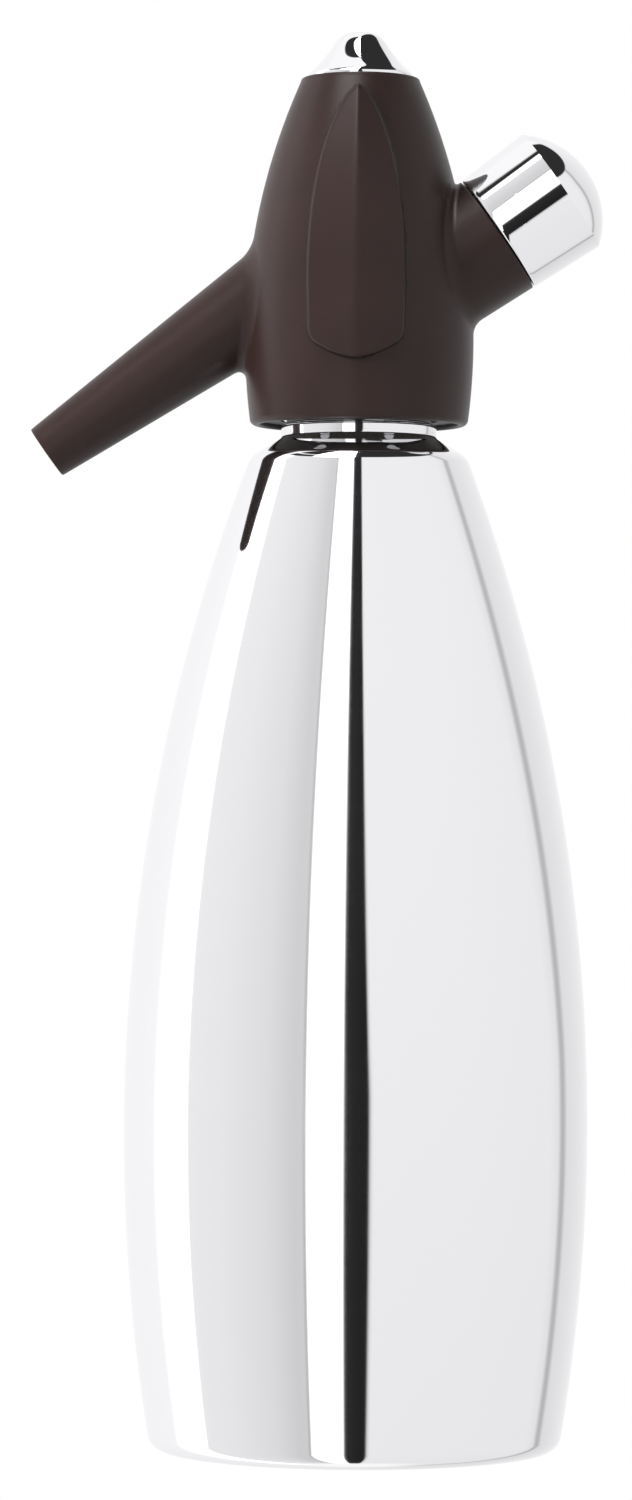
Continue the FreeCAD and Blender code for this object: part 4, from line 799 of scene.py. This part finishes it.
class SIPHON_OT_grips(Operator):
    """Makes the leaf-shaped grips on the front and the back of the bell"""

    bl_idname = "siphon.grips"
    bl_label = "Grips"

    # Heights of the leaf's lower tip, its widest place and its upper tip
    tip = 245.5 * MM
    wide = 263.0 * MM
    top = 308.3 * MM

    def execute(self, context):
        _, head = sizes(context)
        for side, front in (("front", -1), ("back", 1)):
            self.leaf(head, f"{side}_grip", f"grip_leaf_{side}", front)
            # The strip round each grip is painted shadow, not a real gap
            self.gap(head, f"{side}_grip_shadow_strip", front)
        return {"FINISHED"}

    def outline(self, head):
        """Half of the leaf's outline from its lower tip to its upper one, as points (x, z).

        The side above the widest height is an ellipse-like curve, x = half (1 - u ** 2.3) ** 0.7
        with u from 0 to 1 up to the top. The lower end is a rounded corner, which a quadratic
        curve joins to the tip.
        """
        half = head.leaf_half
        fullness, taper = 2.3, 0.70
        u = np.sin(np.linspace(0, np.pi / 2, 90))
        upper = coords(half * (1 - u**fullness) ** taper, self.wide + (self.top - self.wide) * u)
        radius = 4.0 * MM
        inset = 0.25 * MM
        centre = (half - radius - inset, 252.4 * MM)
        lower = arc(centre, radius, -58, -4, 14)
        steps = np.linspace(0, 1, 14)[1:-1, None]
        side = lower[-1] + (np.array([half, self.wide]) - lower[-1]) * steps
        start = np.array([0.0, self.tip])
        t = np.linspace(0, 1, 26)[:-1, None]
        pull = 0.45
        bend = np.array([lower[0, 0] * pull, self.tip + inset])
        chevron = start * (1 - t) ** 2 + bend * 2 * t * (1 - t) + lower[0] * t**2
        return filled(np.vstack([chevron, lower, side, upper]), 0.7 * MM, closed=False)

    def distance(self, spots, outline):
        """The least distance from each spot to the outline and its mirror image."""
        both = np.vstack([outline, outline * [-1, 1]])
        return np.linalg.norm(spots[:, None] - both[None], axis=2).min(axis=1)

    def lift(self, head, x, z, gap):
        """How far out the bell and the grip's skin lie. The skin is a roof that falls by
        tan(pitch) (sqrt(x x + soft soft) - soft) from its ridge, where soft shrinks as z grows,
        brought down towards the bell at the edge by a quarter ellipse."""
        blunt, crisp = 3.2 * MM, 0.2 * MM
        low, high = 250 * MM, 300 * MM
        edge, step = 0.9 * MM, 0.35
        bell = np.sqrt(bell_radius(head, z) ** 2 - x**2)
        soft = blunt + (crisp - blunt) * np.clip((z - low) / (high - low), 0, 1)
        fall = math.tan(head.leaf_pitch) * (np.sqrt(x**2 + soft**2) - soft)
        roof = bell_radius(head, z) + head.leaf_rise - fall
        reach = np.clip(gap / edge, 0, 1)
        rounded = step + (1 - step) * np.sqrt(1 - (1 - reach) ** 2)
        return bell, bell + (roof - bell) * rounded

    def leaf(self, head, name, node, front):
        """Rows run from the outline in to the ridge and on to the mirrored outline, then back
        behind the bell's skin. Each row of a half lies between the outline and the middle line."""
        outline = self.outline(head)
        low_reach, top_reach = 5 * MM, 1.2 * MM
        rim = 0.16
        middle = np.clip(outline[:, 1], self.tip + low_reach, self.top - top_reach)
        spine = coords(0 * middle, middle)
        shares = np.concatenate([np.linspace(0, rim, 9), np.linspace(rim, 1, 16)[1:]])
        half = outline[None] + (spine - outline)[None] * shares[:, None, None]
        flat = np.concatenate([half, (half * [-1, 1])[-2::-1]])
        gap = self.distance(flat.reshape(-1, 2), outline).reshape(flat.shape[:2])
        bell, skin = self.lift(head, flat[..., 0], flat[..., 1], gap)
        sunk = bell - 0.5 * MM
        front_side = coords(flat[..., 0], skin * front, flat[..., 1])
        hidden_side = coords(flat[..., 0], sunk * front, flat[..., 1])[::-1]
        loop = np.concatenate([front_side, hidden_side])
        shape = Shape().add(loop, wrap_rows=True, wrap_columns=False)
        shape.piece(name, "head", "head_plastic", [node])

    def gap(self, head, name, front):
        """A narrow strip of painted shadow round the grip, lying on the bell where a shaded groove
        would be:
        the outline moved out by each corner of a small section, given as (out along the bell, off
        the bell) in mm."""
        section = ((-0.1, -0.15), (0.0, 0.02), (0.22, 0.025), (0.34, -0.12))
        half = self.outline(head)
        loop = np.vstack([half, (half * [-1, 1])[::-1][1:-1]])
        along = np.roll(loop, -1, axis=0) - np.roll(loop, 1, axis=0)
        along /= np.linalg.norm(along, axis=1)[:, None]
        side = coords(along[:, 1], -along[:, 0])
        rows = []
        for offset, rise in section:
            spot = loop + side * offset * MM
            bell = np.sqrt(bell_radius(head, spot[:, 1]) ** 2 - spot[:, 0] ** 2) + rise * MM
            rows.append(coords(spot[:, 0], bell * front, spot[:, 1]))
        strip = Shape().add(np.stack(rows), wrap_rows=True)
        # The strip's near-black finish is painted shadow
        strip.piece(name, "head", "head_plastic", finish="gap")


class SIPHON_OT_button(Operator):
    """Makes the chrome push button"""

    bl_idname = "siphon.button"
    bl_label = "Push button"

    # Radius against drop below the top, both in mm: a blunt nose, a flank and a flared foot
    profile = [
        (0, 0), (2.9, 0.0), (4.9, 1.1), (6.5, 3.6), (8.6, 6.4), (10.5, 8.4), (11.9, 9.5),
        (12.0, 10.3),
    ]

    def execute(self, context):
        low, high = height_of("push_button")
        radius = widest("push_button")
        wall = 0.9 * MM
        longest = 0.7 * MM
        outer = self.crown(high, radius, 0.0)
        inner = self.crown(high, radius, wall)[::-1]
        path = np.vstack([outer, [[radius, low], [radius - wall, low]], inner])
        cap = Shape().add(turned(filled(path, longest, closed=False), 192))
        cap.piece("button_cap", "button", "chromed", ["push_button"], crisp=50)
        return {"FINISHED"}

    def crown(self, top, radius, inset):
        """The crown from its nose down: a smooth curve through the profile's control points. Its
        inside is drawn in towards the axis in proportion to the radius."""
        path = spline(np.array(self.profile), np.linspace(0, 1, 60)) * MM
        path[:, 0] = np.clip(path[:, 0] - inset * path[:, 0] / radius, 0, None)
        return coords(path[:, 0], top - inset - path[:, 1])


def spline(control, steps):
    """A uniform cubic B-spline over the control points, held at both ends."""
    padded = np.vstack([control[:1], control[:1], control, control[-1:], control[-1:]])
    spans = len(padded) - 3
    place = steps * spans
    index = np.minimum(place.astype(int), spans - 1)
    t = (place - index)[:, None]
    a, b, c, d = (padded[index + k] for k in range(4))
    return (
        a * (1 - t) ** 3
        + b * (3 * t**3 - 6 * t**2 + 4)
        + c * (-3 * t**3 + 3 * t**2 + 3 * t + 1)
        + d * t**3
    ) / 6


class SIPHON_OT_cap(Operator):
    """Makes the chrome cap of the charger holder"""

    bl_idname = "siphon.cap"
    bl_label = "Holder cap"

    def execute(self, context):
        _, head = sizes(context)
        lean = line_frame(head, head.boss_height)
        gap = 0.25 * MM
        wall = 1.0 * MM
        longest = 0.8 * MM
        outer = self.side(head.boss_face + gap, 0.0, longest)
        inner = self.side(head.boss_face + gap, wall, longest)[::-1]
        path = filled(np.vstack([outer, inner]), longest, closed=False)
        cap = Shape().add(turned(path, 192, lean))
        cap.piece("charger_cap", "holder", "chromed", ["holder_cap"])
        return {"FINISHED"}

    def side(self, start, inset, longest):
        """From the middle of the domed end out over its crisp rim and down the slightly tapered
        wall. The dome is a circle's arc through the rim and the middle."""
        mouth, rim = 14.6 * MM, 15.4 * MM
        rim_height, end = 55.6 * MM, 63.1 * MM
        edge = 0.4 * MM
        drop = end - rim_height
        dome = (rim**2 + drop**2) / (2 * drop)
        reach = math.degrees(math.asin((rim - inset) / (dome - inset)))
        arch = arc((0, end - dome), dome - inset, 90, 90 - reach, 40)
        low = arc((mouth - inset - edge, start + edge), edge, 0, -90, 5)
        return np.vstack([arch[:-1], filled(np.array([arch[-1], low[0]]), longest)[:-1], low])


class SIPHON_OT_inside(Operator):
    """Gives every carried-over piece its finish"""

    bl_idname = "siphon.inside"
    bl_label = "Inner pieces"

    def execute(self, context):
        slots = {part["node"]: part["material_slot"] for part in frame["record"]["subparts"]}
        for name, node in frame["nodes"].items():
            node.data.materials.clear()
            # The thread ring's near-black finish is painted shade where the head meets the neck
            finish = "neck_shade_ring" if name == "head_thread_ring" else slots[name]
            node.data.materials.append(FINISHES[finish])
        return {"FINISHED"}


class SIPHON_OT_stage(Operator):
    """Sets the floor, the light tent and the camera"""

    bl_idname = "siphon.stage"
    bl_label = "Stage"

    view_scale = 4.4
    photo_height = 1500
    distance = 1.300
    eye = 0.138
    aim = (-0.0094, 0.1586)
    azimuth = math.radians(2.3)
    roll = math.radians(0.28)

    # Levels of the tent's parts, as the upward share of a direction, each with its soft edge
    table_edge = (-0.985, -0.93)
    walls_end = (0.715, 0.73)
    strip_start = (0.80, 0.81)
    strip_end = (0.825, 0.835)

    # Brightness of the tent's foot, its white cloth, its dark beams and the light on matt pieces
    foot_tone = 0.93
    white = 1.1
    dark = 0.03
    soft_level = 0.5

    # The slot in front leans in as it rises: up to this share, height and angle in degrees
    narrowing = 1.1
    narrow_height = 0.55
    narrow_reach = 14.5

    def execute(self, context):
        context.scene.view_settings.view_transform = "Standard"
        self.camera(context)
        self.floor()
        self.world(context)
        self.lamps()
        return {"FINISHED"}

    def camera(self, context):
        """The camera looks at a point beside the axis, a little upwards and slightly leaned."""
        lens = bpy.data.cameras.new("camera")
        lens.sensor_fit = "VERTICAL"
        lens.sensor_height = 36
        span = self.photo_height / self.view_scale * MM
        lens.lens = lens.sensor_height * self.distance / span
        lens.clip_end = 20
        camera = new_object("camera", lens)
        right = Vector((math.cos(self.azimuth), math.sin(self.azimuth), 0))
        ahead = Vector((-math.sin(self.azimuth), math.cos(self.azimuth), 0))
        target = right * self.aim[0] + Vector((0, 0, self.aim[1]))
        camera.location = right * self.aim[0] - ahead * self.distance + Vector((0, 0, self.eye))
        turn = (target - camera.location).to_track_quat("-Z", "Y").to_matrix().to_4x4()
        lean = Matrix.Rotation(self.roll, 4, "Z")
        camera.matrix_world = Matrix.Translation(camera.location) @ turn @ lean
        context.scene.camera = camera

    def floor(self):
        """A wide pale floor that shows white to the camera and that polished metal doesn't show."""
        reach = 3.0
        mesh = bpy.data.meshes.new("floor")
        corners = [(-reach, -reach, 0), (reach, -reach, 0), (reach, reach, 0), (-reach, reach, 0)]
        mesh.from_pydata(corners, [], [(0, 1, 2, 3)])
        floor = new_object("floor", mesh)
        paint = Finish("floor_paint", (0.9, 0.9, 0.9), roughness=0.9)
        output = paint.tree.nodes["Material Output"]
        seen = paint.out(paint.node("ShaderNodeLightPath"), "Is Camera Ray")
        glow = paint.out(paint.node("ShaderNodeEmission", None, [grey(1.0), 1.0]))
        mix = paint.node("ShaderNodeMixShader", None, [seen, paint.out(paint.shader), glow])
        paint.feed(output.inputs["Surface"], paint.out(mix))
        mesh.materials.append(paint.material)
        floor.visible_glossy = False

    def world(self, context):
        """A white tent that the metal shows. Its brightness follows the angle round the object,
        with a dark slot in front where the tent opens, and changes once more above its walls."""
        world = bpy.data.worlds.new("tent")
        context.scene.world = world
        world.use_nodes = True
        tent = Nodes(world.node_tree)
        background = tent.tree.nodes["Background"]
        direction = tent.out(tent.node("ShaderNodeTexCoord"), "Generated")
        parts = tent.node("ShaderNodeSeparateXYZ", None, [direction])
        x, y, z = (tent.out(parts, axis) for axis in "XYZ")
        angle = x.turn_from(0.0 - y) * (180 / math.pi) - math.degrees(self.azimuth)
        lean = tent.vary(z, 0.0, self.narrowing, from_low=0.0, from_high=self.narrow_height)
        share = (angle + angle.at_least(0.0).at_most(self.narrow_reach) * lean) / 360 + 0.5

        def above(low, high):
            return tent.vary(z, 0.0, 1.0, from_low=low, from_high=high)

        def ramp(stops):
            return tent.out(tent.node("ShaderNodeValToRGB", {"stops": stops}, [share]))

        fade = tent.vary(z, self.foot_tone, 1.0, from_low=-0.7, from_high=0.5)
        walls = tent.blend(fade, grey(0.0), ramp(self.bands()))
        strip = above(*self.strip_start) - above(*self.strip_end)
        ceiling = tent.blend(strip, ramp(self.ceiling(self.dark)), ramp(self.ceiling(self.white)))
        lid = tent.blend(above(*self.walls_end), walls, ceiling)
        tent_light = tent.blend(above(*self.table_edge), grey(self.white), lid)
        path = tent.node("ShaderNodeLightPath")
        glossy = tent.out(path, "Is Glossy Ray")
        seen = tent.out(path, "Is Camera Ray")
        soft = tent.blend(glossy, grey(self.soft_level), tent_light)
        colour = tent.blend(seen, soft, grey(1.0))
        tent.feed(background.inputs["Color"], colour)

    def bands(self):
        """Brightness of the walls against the angle in degrees, from behind by the left, past the
        front at 0 and by the right to behind."""
        tones = [
            (-180, 0.99), (-120, 1.1), (-110, 1.9), (-93, 2.4), (-91.5, 0.985),
            (-70, 0.95), (-45, 0.86), (-31, 0.74), (-26.4, 0.74), (-25.8, 0.5),
            (-24.6, 0.5), (-24.2, 1.9), (-6.4, 1.9), (-5.6, 0.03), (6.2, 0.015),
            (7.2, 1.0), (60, 0.99), (112, 0.97), (120, 0.90), (123, 0.55), (125.5, 0.55),
            (129, 0.86), (150, 0.92), (180, 0.99),
        ]
        return self.stops(tones)

    def ceiling(self, beam):
        """Brightness above the walls against the angle: a beam on the left, the tall lamp's top
        and a dark roof from the front by the right to behind."""
        tones = [
            (-180, 1.1), (-108, 1.1), (-104, beam), (-64, beam), (-62, 1.1), (-56, 6.0),
            (-36, 12.0), (-8, 12.0), (-5, 0.03), (176, 0.03), (178, 1.1), (180, 1.1),
        ]
        return self.stops(tones)

    def stops(self, tones):
        """A colour ramp's stops, a trace bluer than grey."""
        tint = np.array([1.0, 0.995, 1.01])
        return [((angle + 180) / 360, (*(tone * tint), 1.0)) for angle, tone in tones]

    def lamps(self):
        """Two soft windows that shade the plastic and that the metal doesn't show. Each has its
        place and size in metres and its power in watts."""
        windows = (
            ("left_window", (-1.1, -0.6, 0.6), 0.7, 34.0),
            ("right_window", (0.9, -0.5, 0.6), 0.6, 5.0),
        )
        head_middle = Vector((0, 0, 0.26))
        for name, place, size, power in windows:
            light = bpy.data.lights.new(name, "AREA")
            light.size = size
            light.energy = power
            lamp = new_object(name, light)
            lamp.location = place
            aim = head_middle - Vector(place)
            lamp.rotation_euler = aim.to_track_quat("-Z", "Y").to_euler()
            lamp.visible_glossy = False
            lamp.visible_camera = False


class SIPHON_PT_panel(Panel):
    """Lists the siphon's pieces"""

    bl_label = "Soda siphon"
    bl_idname = "SIPHON_PT_panel"
    bl_space_type = "VIEW_3D"
    bl_region_type = "UI"
    bl_category = "Siphon"

    def draw(self, context):
        """Each group's sizes in a box, then a button for each operator."""
        for scene_name in GROUPS:
            group = getattr(context.scene, scene_name)
            box = self.layout.box()
            for name in group.bl_rna.properties.keys():
                if name not in {"rna_type", "name"}:
                    box.prop(group, name)
        for operator in OPERATORS:
            self.layout.operator(operator.bl_idname)


OPERATORS = (
    SIPHON_OT_inside,
    SIPHON_OT_bottle,
    SIPHON_OT_head,
    SIPHON_OT_grips,
    SIPHON_OT_button,
    SIPHON_OT_cap,
    SIPHON_OT_stage,
)
GROUPS = {
    "siphon_bottle": SiphonBottleSizes,
    "siphon_head": SiphonHeadSizes,
    "siphon_colours": SiphonColours,
}
CLASSES = (*GROUPS.values(), *OPERATORS, SIPHON_PT_panel)


def register():
    for kind in CLASSES:
        bpy.utils.register_class(kind)
    for name, group in GROUPS.items():
        setattr(bpy.types.Scene, name, PointerProperty(type=group))


def unregister():
    for name in GROUPS:
        delattr(bpy.types.Scene, name)
    for kind in reversed(CLASSES):
        bpy.utils.unregister_class(kind)


def main():
    register()
    FINISHES.update(make_finishes(bpy.context))
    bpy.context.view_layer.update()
    bpy.ops.siphon.inside()
    bpy.ops.siphon.bottle()
    bpy.ops.siphon.head()
    bpy.ops.siphon.grips()
    bpy.ops.siphon.button()
    bpy.ops.siphon.cap()
    bpy.ops.siphon.stage()


if __name__ == "__main__":
    main()
